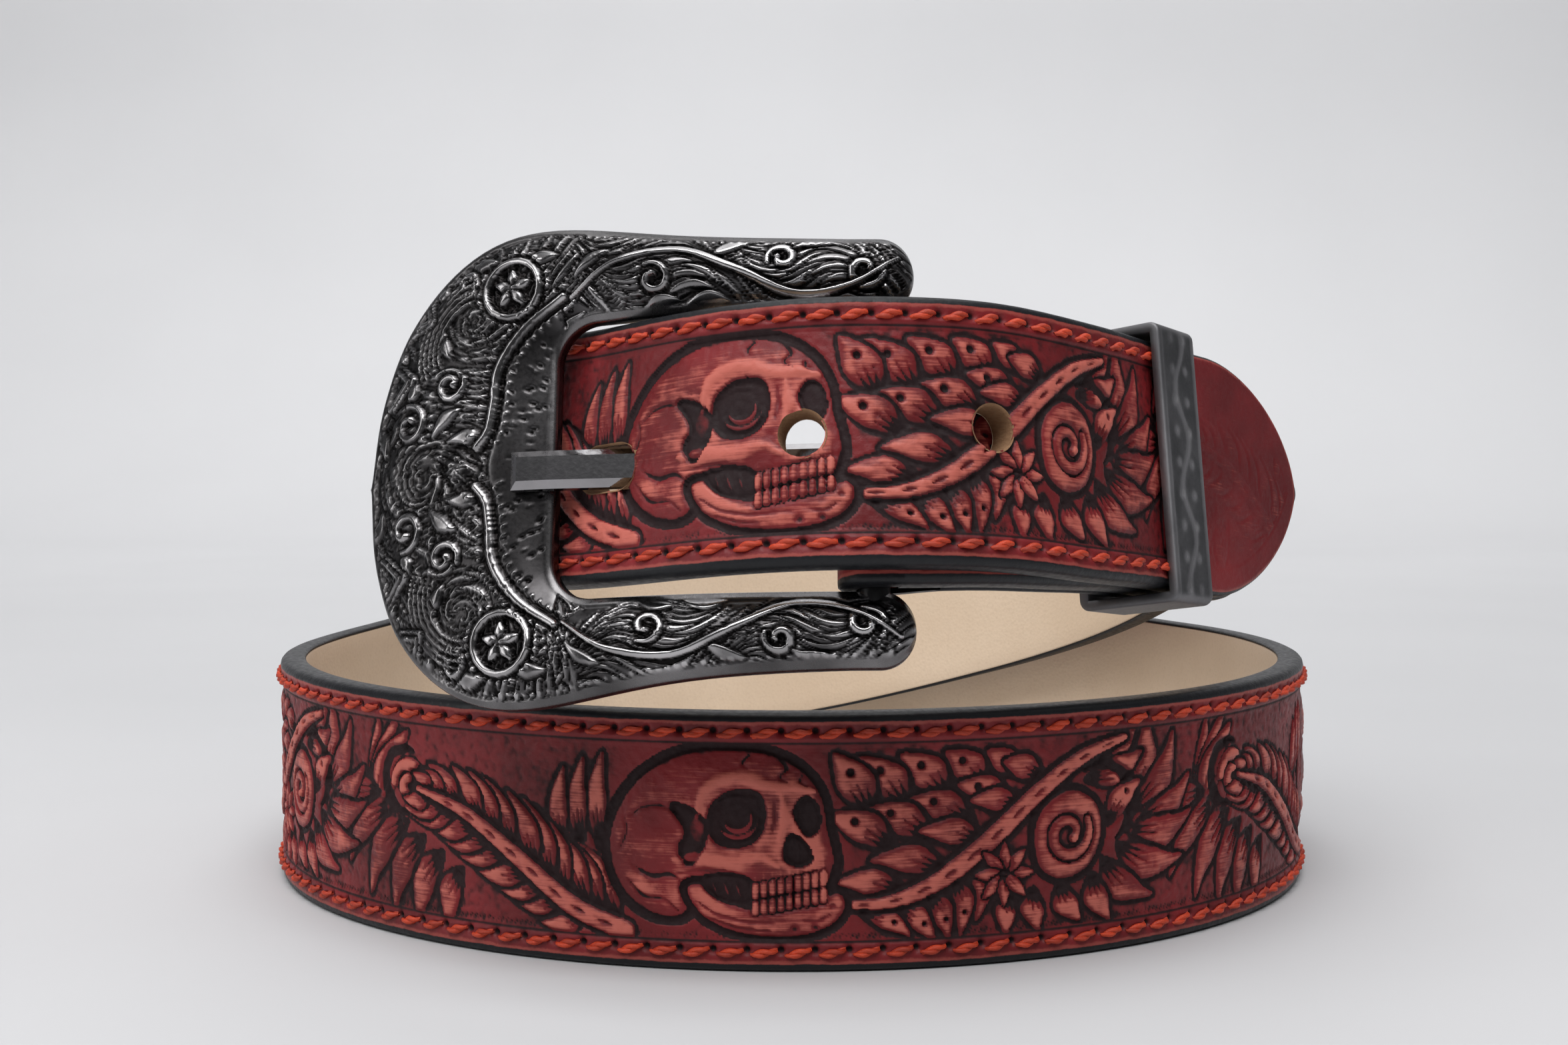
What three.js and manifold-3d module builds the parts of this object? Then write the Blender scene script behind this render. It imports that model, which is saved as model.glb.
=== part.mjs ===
import * as THREE from "three";
import { mergeVertices } from "three/addons/utils/BufferGeometryUtils.js";
import Module from "manifold-3d";

// Driving sizes, in millimetres and degrees

// The strap: tooled leather outside, thin lining inside
const strapWidth = 38;
const leatherThickness = 3.0;
const liningThickness = 1.1;
const leatherBevel = 0.7;
const liningInset = 0.5;
const glueGap = 0.3;
const layerGap = 0.5;

// The coil that the belt lies in
const coilRadius = 92;
const stationSmoothing = 5;
const angleStep = 3.5;
const turn = 360;

// The first turn lies inside the last one up to the first angle, and is free of it from the second
const innerTurnEnd = 44;
const joinEnd = 66;

// The free end
const tipAngle = 783;
const taperLength = 27;
const tipSteps = 9;

// The holes, counted from the tip
const holeDiameter = 6.5;
const holePitch = 27.5;
const prongHoleShift = 5.5;
const holeRowDrop = 1.2;
const firstHoleFromTip = 86;
const holeCount = 5;
const prongHole = 3;
const holeSides = 16;

// The buckle end, folded round the bar
const barAngle = 6.5;
const barDiameter = 4.4;
const barClearance = 0.35;
const foldSteps = 8;
const flapThickness = 2.2;
const flapGap = 0.6;
const flapLength = 66;
const flapDrawIn = 12;
const slotWidth = 8.2;
const slotReach = 9;
const liningStart = 3;

// The buckle frame
const frameHeight = 71.4;
const openingHeight = 40.6;
const openingCorner = 6;
const barToClosedEnd = 45.5;
const barToFrameEnd = 79;
const barToArmEnd = 5.8;
const armEndRound = 5;
const frameBendRadius = 125;
const frameSwing = 9.7;
const frameDrop = 0.4;
const frameRoll = 2.4;
const frameRollReach = 16;
const frameBack = -1.0;
const frameCrown = 4.6;
const closedEndLift = 1.6;
const barSeat = 3;

// The prong
const prongWidth = 5.6;
const prongThickness = 2.6;
const prongOverlap = 6.5;
const prongEyeWall = 1.9;
const prongBevel = 0.6;
const prongDrop = 1.7;
const prongClearance = 0.42;

// The keeper
const keeperAngle = 38.4;
const keeperWidth = 12;
const keeperMetal = 1.7;
const keeperClearance = 0.8;

// Stations of the strap's outer face. radius is a share of the coil radius, and height, that of the
// strap's centre line above the table, a share of the strap width. lean tips the upper edge inward.
const coilStations = [
  { angle: 62, radius: 0.89, height: 1.86, lean: 6 },
  { angle: 76, radius: 0.858, height: 1.82, lean: 3 },
  { angle: 92, radius: 0.848, height: 1.765, lean: 0 },
  { angle: 106, radius: 0.862, height: 1.66, lean: -2 },
  { angle: 120, radius: 0.885, height: 1.5, lean: -4 },
  { angle: 135, radius: 0.905, height: 1.32, lean: -4 },
  { angle: 150, radius: 0.92, height: 1.15, lean: -3 },
  { angle: 180, radius: 0.934, height: 0.86, lean: -2 },
  { angle: 205, radius: 0.941, height: 0.72, lean: -1 },
  { angle: 225, radius: 0.949, height: 0.63, lean: 0 },
  { angle: 250, radius: 0.984, height: 0.52, lean: 0 },
  { angle: 264, radius: 1.0, height: 0.5, lean: 0 },
  { angle: 280, radius: 1.0, height: 0.5, lean: 0 },
  { angle: 330, radius: 1.0, height: 0.5, lean: 0 },
  { angle: 390, radius: 1.0, height: 0.5, lean: 0 },
  { angle: 450, radius: 1.0, height: 0.5, lean: 0 },
  { angle: 480, radius: 1.0, height: 0.5, lean: 0 },
  { angle: 500, radius: 1.0, height: 0.54, lean: -1 },
  { angle: 520, radius: 1.003, height: 0.7, lean: -2 },
  { angle: 540, radius: 1.008, height: 0.91, lean: -4 },
  { angle: 560, radius: 1.014, height: 1.3, lean: -4 },
  { angle: 576, radius: 1.016, height: 1.56, lean: -3 },
  { angle: 588, radius: 1.0, height: 1.7, lean: -2 },
  { angle: 603, radius: 0.9, height: 1.8, lean: -1 },
  { angle: 620, radius: 0.76, height: 1.85, lean: 0 },
  { angle: 640, radius: 0.725, height: 1.88, lean: 2 },
  { angle: 662, radius: 0.79, height: 1.91, lean: 6 },
  { angle: 682, radius: 0.91, height: 1.94, lean: 11 },
];

// Stations of the front of the upper turn, with the same columns, on the turn of the free end.
const frontStations = [
  { angle: 700.9, radius: 1.05, height: 1.98, lean: 14 },
  { angle: 707.3, radius: 1.12, height: 2.02, lean: 14.5 },
  { angle: 715.6, radius: 1.185, height: 2.075, lean: 16.5 },
  { angle: 723.7, radius: 1.22, height: 2.1, lean: 17 },
  { angle: 732.5, radius: 1.207, height: 2.09, lean: 15.5 },
  { angle: 737.7, radius: 1.175, height: 2.065, lean: 13 },
  { angle: 742.7, radius: 1.132, height: 2.025, lean: 11 },
  { angle: 754.7, radius: 1.032, height: 1.955, lean: 9.5 },
  { angle: 758.4, radius: 1.005, height: 1.93, lean: 9 },
  { angle: 770.9, radius: 0.986, height: 1.855, lean: 7 },
  { angle: 783.3, radius: 1.013, height: 1.78, lean: 5 },
  { angle: 792, radius: 1.056, height: 1.73, lean: 4 },
];

// The free end's outline: how far along the taper, and what is left of the half width there.
const tipOutline = [
  { along: 0, width: 1 },
  { along: 0.2, width: 0.96 },
  { along: 0.45, width: 0.82 },
  { along: 0.7, width: 0.6 },
  { along: 0.88, width: 0.38 },
  { along: 1, width: 0.12 },
];

// The buckle's outer outline above its middle line: how far from the bar to the closed end, and how
// high up the half height.
const frameOutline = [
  { along: 0, up: 0.87 },
  { along: 0.18, up: 0.88 },
  { along: 0.34, up: 0.905 },
  { along: 0.48, up: 0.955 },
  { along: 0.56, up: 0.985 },
  { along: 0.63, up: 1 },
  { along: 0.7, up: 0.985 },
  { along: 0.77, up: 0.93 },
  { along: 0.83, up: 0.845 },
  { along: 0.88, up: 0.745 },
  { along: 0.925, up: 0.61 },
  { along: 0.96, up: 0.445 },
  { along: 0.985, up: 0.25 },
  { along: 1, up: 0 },
];

// The frame's front from its inner edge to its outer one, as shares of the crown.
const frameProfile = [
  { across: 0, height: 0.45 },
  { across: 0.22, height: 0.8 },
  { across: 0.5, height: 1 },
  { across: 0.8, height: 0.85 },
  { across: 1, height: 0.45 },
];

// Worked-out sizes
const strapThickness = leatherThickness + glueGap + liningThickness;
const layerPitch = strapThickness + layerGap;
const barRadius = barDiameter / 2;
const armWidth = (frameOutline[0].up * frameHeight - openingHeight) / 2;
const stations = [...coilStations, ...frontStations];

const wasm = await Module();
wasm.setup();

const degrees = (angle) => THREE.MathUtils.degToRad(angle);

// Piecewise cubic through the stations that never overshoots them
function slopeAt(rows, column, i) {
  if (i === 0 || i === rows.length - 1) {
    return 0;
  }
  const left = rows[i].angle - rows[i - 1].angle;
  const right = rows[i + 1].angle - rows[i].angle;
  const before = (rows[i][column] - rows[i - 1][column]) / left;
  const after = (rows[i + 1][column] - rows[i][column]) / right;
  if (before * after <= 0) {
    return 0;
  }
  return (left + right) / (left / after + right / before);
}

function stationValue(rows, column, angle) {
  const last = rows.length - 2;
  let i = 0;
  while (i < last && angle > rows[i + 1].angle) {
    i += 1;
  }
  const span = rows[i + 1].angle - rows[i].angle;
  const t = THREE.MathUtils.clamp((angle - rows[i].angle) / span, 0, 1);
  const square = t * t;
  const cube = square * t;
  const start = (2 * cube - 3 * square + 1) * rows[i][column];
  const end = (3 * square - 2 * cube) * rows[i + 1][column];
  const leaving = (cube - 2 * square + t) * span * slopeAt(rows, column, i);
  const arriving = (cube - square) * span * slopeAt(rows, column, i + 1);
  return start + end + leaving + arriving;
}

// A short weighted average along the strap takes the last unevenness out
function smoothValue(column, angle) {
  const reach = 2;
  let sum = 0;
  let weights = 0;
  for (let k = -reach; k <= reach; k += 1) {
    const weight = reach + 1 - Math.abs(k);
    sum += weight * stationValue(stations, column, angle + (k * stationSmoothing) / reach);
    weights += weight;
  }
  return sum / weights;
}

function coilPoint(angle) {
  const radius = coilRadius * smoothValue("radius", angle);
  return {
    place: new THREE.Vector3(
      radius * Math.sin(degrees(angle)),
      -radius * Math.cos(degrees(angle)),
      strapWidth * smoothValue("height", angle),
    ),
    lean: smoothValue("lean", angle),
  };
}

// The frame of the strap at a point: along it, up across its width, and out of its tooled face
function strapAxes(pointAt, angle) {
  const nudge = 0.05;
  const { place, lean } = pointAt(angle);
  const along = pointAt(angle + nudge).place.clone().sub(pointAt(angle - nudge).place).normalize();
  const outward = new THREE.Vector3(along.y, -along.x, 0).normalize();
  const up = new THREE.Vector3(0, 0, Math.cos(degrees(lean)));
  up.addScaledVector(outward, -Math.sin(degrees(lean)));
  up.addScaledVector(along, -up.dot(along)).normalize();
  const out = new THREE.Vector3().crossVectors(along, up);
  return { place, lean, along, up, out };
}

// The first turn starts one layer inside the last one, then runs into its own stations
function strapPoint(angle) {
  if (angle >= joinEnd) {
    return coilPoint(angle);
  }
  const outer = strapAxes(coilPoint, angle + 2 * turn);
  const place = outer.place.clone().addScaledVector(outer.out, -layerPitch);
  const share = THREE.MathUtils.smoothstep(angle, innerTurnEnd, joinEnd);
  const own = coilPoint(Math.max(angle, coilStations[0].angle));
  return {
    place: place.lerp(coilPoint(Math.max(angle, innerTurnEnd)).place, share),
    lean: THREE.MathUtils.lerp(outer.lean, own.lean, share),
  };
}

const strapSection = (angle) => strapAxes(strapPoint, angle);

// Distance along the strap from one angle to another
function lengthBetween(start, end) {
  const step = 0.5;
  let sum = 0;
  let last = strapPoint(start).place;
  for (let angle = start + step; angle <= end; angle += step) {
    const next = strapPoint(angle).place;
    sum += next.distanceTo(last);
    last = next;
  }
  return sum;
}

function angleBack(start, length) {
  const step = 0.05;
  let angle = start;
  let left = length;
  let last = strapPoint(angle).place;
  while (left > 0) {
    angle -= step;
    const next = strapPoint(angle).place;
    left -= next.distanceTo(last);
    last = next;
  }
  return angle;
}

// A closed solid through sections that all have the same number of corners
function loft(sections) {
  const corners = sections[0].length;
  const points = sections.flat();
  const index = [];
  for (let i = 0; i < sections.length - 1; i += 1) {
    for (let j = 0; j < corners; j += 1) {
      const a = i * corners + j;
      const b = i * corners + ((j + 1) % corners);
      index.push(a, b, b + corners, a, b + corners, a + corners);
    }
  }
  const last = (sections.length - 1) * corners;
  for (let j = 1; j < corners - 1; j += 1) {
    index.push(0, j + 1, j, last, last + j, last + j + 1);
  }
  const geometry = new THREE.BufferGeometry().setFromPoints(points);
  geometry.setIndex(index);
  return facingOut(geometry);
}

function signedVolume(geometry) {
  const at = geometry.attributes.position;
  const order = geometry.index.array;
  const [a, b, c] = [new THREE.Vector3(), new THREE.Vector3(), new THREE.Vector3()];
  let sum = 0;
  for (let i = 0; i < order.length; i += 3) {
    a.fromBufferAttribute(at, order[i]);
    b.fromBufferAttribute(at, order[i + 1]);
    c.fromBufferAttribute(at, order[i + 2]);
    sum += a.dot(b.cross(c));
  }
  return sum;
}

function facingOut(geometry) {
  if (signedVolume(geometry) < 0) {
    geometry.setIndex([...geometry.index.array].reverse());
  }
  return geometry;
}

// Joins and cuts are made on merged, closed meshes
function solidOf(geometry) {
  const bare = geometry.clone();
  bare.deleteAttribute("normal");
  bare.deleteAttribute("uv");
  const merged = mergeVertices(bare, 1e-4);
  return new wasm.Manifold(
    new wasm.Mesh({
      numProp: 3,
      vertProperties: new Float32Array(merged.attributes.position.array),
      triVerts: new Uint32Array(merged.index.array),
    }),
  );
}

function geometryOf(solid) {
  const mesh = solid.getMesh();
  const geometry = new THREE.BufferGeometry();
  geometry.setAttribute("position", new THREE.BufferAttribute(mesh.vertProperties, 3));
  geometry.setIndex(new THREE.BufferAttribute(mesh.triVerts, 1));
  return geometry;
}

// One cross-section of leather: its tooled face at the place, bevelled, and its back at the depth
function leatherSection({ place, up, out }, halfWidth, face, back) {
  const bevel = Math.min(leatherBevel, halfWidth / 2, (back - face) / 2);
  const corner = (across, depth) =>
    place.clone().addScaledVector(up, across).addScaledVector(out, -depth);
  return [
    corner(-halfWidth, back),
    corner(-halfWidth, face + bevel),
    corner(bevel - halfWidth, face),
    corner(halfWidth - bevel, face),
    corner(halfWidth, face + bevel),
    corner(halfWidth, back),
  ];
}

// One cross-section of the lining, its edges cut square
function liningSection({ place, up, out }, halfWidth, face, back) {
  const corner = (across, depth) =>
    place.clone().addScaledVector(up, across).addScaledVector(out, -depth);
  return [
    corner(halfWidth, back),
    corner(halfWidth, face),
    corner(-halfWidth, face),
    corner(-halfWidth, back),
  ];
}

// The share of the half width that the taper leaves at a distance from the tip
function tipShare(fromTip) {
  const along = 1 - THREE.MathUtils.clamp(fromTip / taperLength, 0, 1);
  let i = 0;
  while (i < tipOutline.length - 2 && along > tipOutline[i + 1].along) {
    i += 1;
  }
  const [a, b] = [tipOutline[i], tipOutline[i + 1]];
  return a.width + ((along - a.along) / (b.along - a.along)) * (b.width - a.width);
}

// The angles at which the strap has a section, closer together along the taper
function stationAngles() {
  const taperStart = angleBack(tipAngle, taperLength);
  const count = Math.ceil((taperStart - barAngle) / angleStep);
  const step = (taperStart - barAngle) / count;
  const body = Array.from({ length: count }, (_, i) => barAngle + i * step);
  const taper = Array.from(
    { length: tipSteps + 1 },
    (_, i) => taperStart + ((tipAngle - taperStart) * i) / tipSteps,
  );
  return [...body, ...taper];
}

// Half the strap's width at an angle, narrower along the taper
function halfWidthAt(angle, inset) {
  const taperSpan = tipAngle - angleBack(tipAngle, taperLength);
  return (strapWidth / 2 - inset) * tipShare(((tipAngle - angle) / taperSpan) * taperLength);
}

// Near the bar the strap follows it, a little askew to the rest
function seatedSection(angle) {
  const section = strapSection(angle);
  const fade = 1 - THREE.MathUtils.smoothstep(angle, barAngle, barAngle + frameRollReach);
  const roll = degrees(frameRoll * fade);
  const up = section.up.clone().applyAxisAngle(section.out, -roll);
  const along = section.along.clone().applyAxisAngle(section.out, -roll);
  return { ...section, up, along };
}

// The frame of the bar: its centre, with the strap's own directions there
function barAxes() {
  const section = seatedSection(barAngle);
  const depth = leatherThickness + barClearance + barRadius;
  return { ...section, place: section.place.clone().addScaledVector(section.out, -depth) };
}

// The flap lies behind the strap's lining, on the strap's own stations, and swells out to the bar
function flapSections() {
  const nominal = strapThickness + flapGap + flapThickness;
  const atBar = leatherThickness + 2 * (barClearance + barRadius) + flapThickness;
  const end = angleForward(barAngle, flapLength);
  const angles = [...stationAngles().filter((angle) => angle > barAngle && angle < end), end];
  return angles.reverse().map((angle) => {
    const section = seatedSection(angle);
    const swell = 1 - THREE.MathUtils.smoothstep(lengthBetween(barAngle, angle), 0, flapDrawIn);
    const depth = THREE.MathUtils.lerp(nominal, atBar, swell);
    const place = section.place.clone().addScaledVector(section.out, -depth);
    const turned = { place, up: section.up, out: section.out.clone().negate() };
    return leatherSection(turned, strapWidth / 2, 0, flapThickness);
  });
}

function angleForward(start, length) {
  const step = 0.05;
  let angle = start;
  while (lengthBetween(start, angle) < length) {
    angle += step * 10;
  }
  return angle;
}

// Round the bar the leather thickens from the flap's thickness to its own
function foldSections() {
  const { place, along, up, out } = barAxes();
  return Array.from({ length: foldSteps }, (_, i) => {
    const share = i / foldSteps;
    const angle = Math.PI * share;
    const facing = out.clone().multiplyScalar(-Math.cos(angle)).addScaledVector(along, -Math.sin(angle));
    const thickness = THREE.MathUtils.lerp(flapThickness, leatherThickness, share);
    const radius = barRadius + barClearance + thickness;
    const point = place.clone().addScaledVector(facing, radius);
    return leatherSection({ place: point, up, out: facing }, strapWidth / 2, 0, thickness);
  });
}

// A tool that cuts a round hole through the strap at an angle along the coil
function holeTool({ angle, drop }) {
  const { place, along, up, out } = strapSection(angle);
  const length = strapThickness + layerGap;
  const geometry = new THREE.CylinderGeometry(holeDiameter / 2, holeDiameter / 2, length, holeSides);
  geometry.translate(-drop, -strapThickness / 2, 0);
  geometry.applyMatrix4(new THREE.Matrix4().makeBasis(up, out, along).setPosition(place));
  return solidOf(geometry);
}

function boxTool(axes, size, centre) {
  const geometry = new THREE.BoxGeometry(...size);
  geometry.translate(...centre);
  const basis = new THREE.Matrix4().makeBasis(axes.along, axes.up, axes.out).setPosition(axes.place);
  return solidOf(geometry.applyMatrix4(basis));
}

// The slot lets the prong's eye hook round the bar through both layers of the fold
function slotTool() {
  const foldRadius = barRadius + barClearance + leatherThickness;
  const front = foldRadius + layerGap / 2;
  const rear = -2 * foldRadius;
  const left = -foldRadius - 1;
  const size = [slotReach - left, slotWidth, front - rear];
  return boxTool(barAxes(), size, [(slotReach + left) / 2, -frameDrop - prongDrop, (front + rear) / 2]);
}

// The frame of the buckle: the bar's, swung about the bar so that the closed end drops back
function buckleAxes() {
  const { place, along, up, out } = barAxes();
  const swing = degrees(frameSwing);
  const turned = along.clone().multiplyScalar(Math.cos(swing)).addScaledVector(out, Math.sin(swing));
  const centre = place.clone().addScaledVector(up, -frameDrop);
  return { place: centre, along: turned, up, out: new THREE.Vector3().crossVectors(turned, up) };
}

// A point of the buckle: along the frame from the bar, up from its middle, out from the bar's centre
function bucklePoint(axes, along, up, height) {
  const bend = along / frameBendRadius;
  const radius = frameBendRadius + height;
  return axes.place
    .clone()
    .addScaledVector(axes.along, radius * Math.sin(bend))
    .addScaledVector(axes.out, radius * Math.cos(bend) - frameBendRadius)
    .addScaledVector(axes.up, up);
}

// The outer outline of the upper half, from the arm's round end to the middle of the closed end
function outerOutline() {
  const half = frameHeight / 2;
  const middle = frameOutline[0].up * half - armWidth / 2;
  const round = [90, 60, 30, 8].map((angle) => ({
    along: armEndRound * Math.cos(degrees(angle)) + barToArmEnd - armEndRound,
    up: middle + (armWidth / 2) * Math.sin(degrees(angle)),
  }));
  const rest = frameOutline.map((row) => ({ along: -row.along * barToFrameEnd, up: row.up * half }));
  return [...round.reverse(), ...rest];
}

// The inner outline pairs off with the outer one: along the arm, round the corner, down the side
function innerPoint({ along }, share) {
  const side = -barToClosedEnd;
  const top = openingHeight / 2;
  const cornerStart = side + openingCorner;
  if (along > cornerStart) {
    const over = Math.max(0, along - (barToArmEnd - armEndRound)) / armEndRound;
    return { along, up: top + (armWidth / 2) * (1 - Math.sqrt(Math.max(0, 1 - over * over))) };
  }
  const arc = (Math.PI / 2) * openingCorner;
  const straight = top - openingCorner;
  const travelled = share * (arc + straight);
  if (travelled < arc) {
    const angle = travelled / openingCorner;
    return {
      along: cornerStart - openingCorner * Math.sin(angle),
      up: top - openingCorner + openingCorner * Math.cos(angle),
    };
  }
  return { along: side, up: top - openingCorner - (travelled - arc) };
}

// Pairs of inner and outer points of the upper half, in order from the arm's end
function frameRibs() {
  const outer = outerOutline();
  const cornerStart = openingCorner - barToClosedEnd;
  const first = outer.findIndex((point) => point.along <= cornerStart);
  const lengthTo = (from) => {
    let sum = 0;
    for (let i = first; i < from; i += 1) {
      sum += Math.hypot(outer[i + 1].along - outer[i].along, outer[i + 1].up - outer[i].up);
    }
    return sum;
  };
  const whole = lengthTo(outer.length - 1);
  return outer.map((point, i) => ({ outer: point, inner: innerPoint(point, lengthTo(i) / whole) }));
}

// One cross-section of the frame: a flat back and a crowned front between the two outlines
function frameSection(axes, { inner, outer }, side) {
  const lift = closedEndLift * THREE.MathUtils.smoothstep(-outer.along, 0, barToClosedEnd);
  const span = Math.hypot(outer.along - inner.along, outer.up - inner.up);
  const slim = Math.min(1, span / armWidth);
  const at = (share, height) => {
    const along = THREE.MathUtils.lerp(inner.along, outer.along, share);
    const up = THREE.MathUtils.lerp(inner.up, outer.up, share);
    return bucklePoint(axes, along, side * up, lift + height);
  };
  const front = frameProfile.map((row) => at(row.across, frameBack + row.height * frameCrown * slim));
  return [at(0, frameBack), ...front, at(1, frameBack)];
}

function buckleFrame() {
  const axes = buckleAxes();
  const ribs = frameRibs();
  const upper = ribs.map((rib) => frameSection(axes, rib, 1));
  const lower = ribs.slice(0, -1).reverse().map((rib) => frameSection(axes, rib, -1));
  const bar = new THREE.CylinderGeometry(barRadius, barRadius, openingHeight + 2 * barSeat, holeSides);
  const basis = new THREE.Matrix4().makeBasis(axes.along, axes.up, axes.out).setPosition(axes.place);
  return geometryOf(solidOf(loft([...upper, ...lower])).add(solidOf(bar.applyMatrix4(basis))));
}

// How high the front of the frame stands at a share of the way from its inner edge to its outer one
function profileHeight(across) {
  let i = 0;
  while (i < frameProfile.length - 2 && across > frameProfile[i + 1].across) {
    i += 1;
  }
  const [a, b] = [frameProfile[i], frameProfile[i + 1]];
  return a.height + ((across - a.across) / (b.across - a.across)) * (b.height - a.height);
}

// A point of the prong's centre line that rests on the closed end, measured from the bar's centre
function prongRest(overlap) {
  const across = overlap / (barToFrameEnd - barToClosedEnd);
  const bend = -(barToClosedEnd + overlap) / frameBendRadius;
  const front = frameBack + closedEndLift + frameCrown * profileHeight(across);
  const radius = frameBendRadius + front + prongClearance + prongThickness / 2;
  return { along: radius * Math.sin(bend), out: radius * Math.cos(bend) - frameBendRadius };
}

// The prong runs straight from its eye on the bar to the closed end, and lies on it to its tip
function prongLine() {
  return [{ along: -barRadius, out: 0 }, prongRest(0), prongRest(prongOverlap / 2), prongRest(prongOverlap)];
}

function prongSections(clearance) {
  const axes = buckleAxes();
  const line = prongLine();
  const halfWidth = prongWidth / 2 + clearance;
  const half = prongThickness / 2 + clearance;
  return line.map((point, i) => {
    const before = line[Math.max(0, i - 1)];
    const after = line[Math.min(line.length - 1, i + 1)];
    const slope = new THREE.Vector2(after.along - before.along, after.out - before.out).normalize();
    const corner = (across, height) =>
      axes.place
        .clone()
        .addScaledVector(axes.along, point.along + slope.y * height)
        .addScaledVector(axes.out, point.out - slope.x * height)
        .addScaledVector(axes.up, across - prongDrop);
    const shoulder = halfWidth - prongBevel;
    return [
      corner(-halfWidth, -half),
      corner(-halfWidth, half - prongBevel),
      corner(-shoulder, half),
      corner(shoulder, half),
      corner(halfWidth, half - prongBevel),
      corner(halfWidth, -half),
    ];
  });
}

function prong() {
  const axes = buckleAxes();
  const centre = axes.place.clone().addScaledVector(axes.up, -prongDrop);
  const basis = new THREE.Matrix4().makeBasis(axes.along, axes.up, axes.out).setPosition(centre);
  const bore = barRadius + prongClearance;
  const eyeRadius = bore + prongEyeWall;
  const eye = new THREE.CylinderGeometry(eyeRadius, eyeRadius, prongWidth, holeSides);
  const hollow = new THREE.CylinderGeometry(bore, bore, 2 * prongWidth, holeSides);
  const body = solidOf(eye.applyMatrix4(basis)).add(solidOf(loft(prongSections(0))));
  return geometryOf(body.subtract(solidOf(hollow.applyMatrix4(basis))));
}

function strap() {
  const body = stationAngles().map((angle) =>
    leatherSection(seatedSection(angle), halfWidthAt(angle, 0), 0, leatherThickness),
  );
  const solid = solidOf(loft([...flapSections(), ...foldSections(), ...body]));
  return geometryOf(cutHoles(solid).subtract(slotTool()));
}

// The lining shares the strap's sections, so that the two stay parallel all the way
function lining() {
  const start = angleForward(barAngle, barRadius + barClearance + liningStart);
  const angles = stationAngles().filter((angle) => angle > start);
  const face = leatherThickness + glueGap;
  const sections = angles.map((angle) =>
    liningSection(seatedSection(angle), halfWidthAt(angle, liningInset), face, strapThickness),
  );
  return geometryOf(cutHoles(solidOf(loft(sections))).subtract(slotTool()));
}

// The row of holes runs a little askew, and the hole in use is pulled towards the closed end
function holes() {
  return Array.from({ length: holeCount }, (_, i) => {
    const shift = i + 1 >= prongHole ? prongHoleShift : 0;
    const angle = angleBack(tipAngle, firstHoleFromTip + i * holePitch + shift);
    return { angle, drop: (i - 0.4) * holeRowDrop };
  });
}

function cutHoles(solid) {
  const punched = holes().reduce((left, hole) => left.subtract(holeTool(hole)), solid);
  return punched.subtract(solidOf(loft(prongSections(prongClearance))));
}

function roundedBox(width, height, radius) {
  const [x, y] = [width / 2, height / 2];
  const shape = new THREE.Shape();
  shape.moveTo(x - radius, -y);
  shape.absarc(x - radius, radius - y, radius, -Math.PI / 2, 0);
  shape.absarc(x - radius, y - radius, radius, 0, Math.PI / 2);
  shape.absarc(radius - x, y - radius, radius, Math.PI / 2, Math.PI);
  shape.absarc(radius - x, radius - y, radius, Math.PI, 1.5 * Math.PI);
  return shape;
}

// The keeper is a closed loop round the free end, the strap below it and the flap
function keeper() {
  const section = strapSection(keeperAngle);
  const deep = strapThickness + layerPitch + flapGap + flapThickness;
  const opening = [strapWidth + 2 * keeperClearance, deep + 2 * keeperClearance];
  const shape = roundedBox(opening[0] + 2 * keeperMetal, opening[1] + 2 * keeperMetal, keeperMetal);
  shape.holes.push(roundedBox(...opening, keeperMetal / 4));
  const options = { depth: keeperWidth, bevelEnabled: false, curveSegments: 3 };
  const geometry = new THREE.ExtrudeGeometry(shape, options);
  geometry.translate(0, layerPitch - deep / 2, -keeperWidth / 2);
  const basis = new THREE.Matrix4().makeBasis(section.up, section.out, section.along);
  return geometryOf(solidOf(geometry.applyMatrix4(basis.setPosition(section.place))));
}

function piece(name, geometry, color, roughness, metalness) {
  const material = new THREE.MeshStandardMaterial({ color, roughness, metalness, flatShading: true });
  const mesh = new THREE.Mesh(geometry, material);
  mesh.name = name;
  return mesh;
}

const belt = new THREE.Group();
belt.add(
  piece("strap", strap(), "#7a2326", 0.55, 0),
  piece("lining", lining(), "#c9ad8d", 0.85, 0),
  piece("buckle_frame", buckleFrame(), "#3a3836", 0.3, 1),
  piece("prong", prong(), "#454340", 0.25, 1),
  piece("keeper", keeper(), "#3b3a3a", 0.45, 1),
);

// The part's origin is the middle of its box, on the table
const box = new THREE.Box3().setFromObject(belt);
belt.position.set(-(box.min.x + box.max.x) / 2, -(box.min.y + box.max.y) / 2, -box.min.z);

export default belt;
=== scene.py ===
import math

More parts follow.
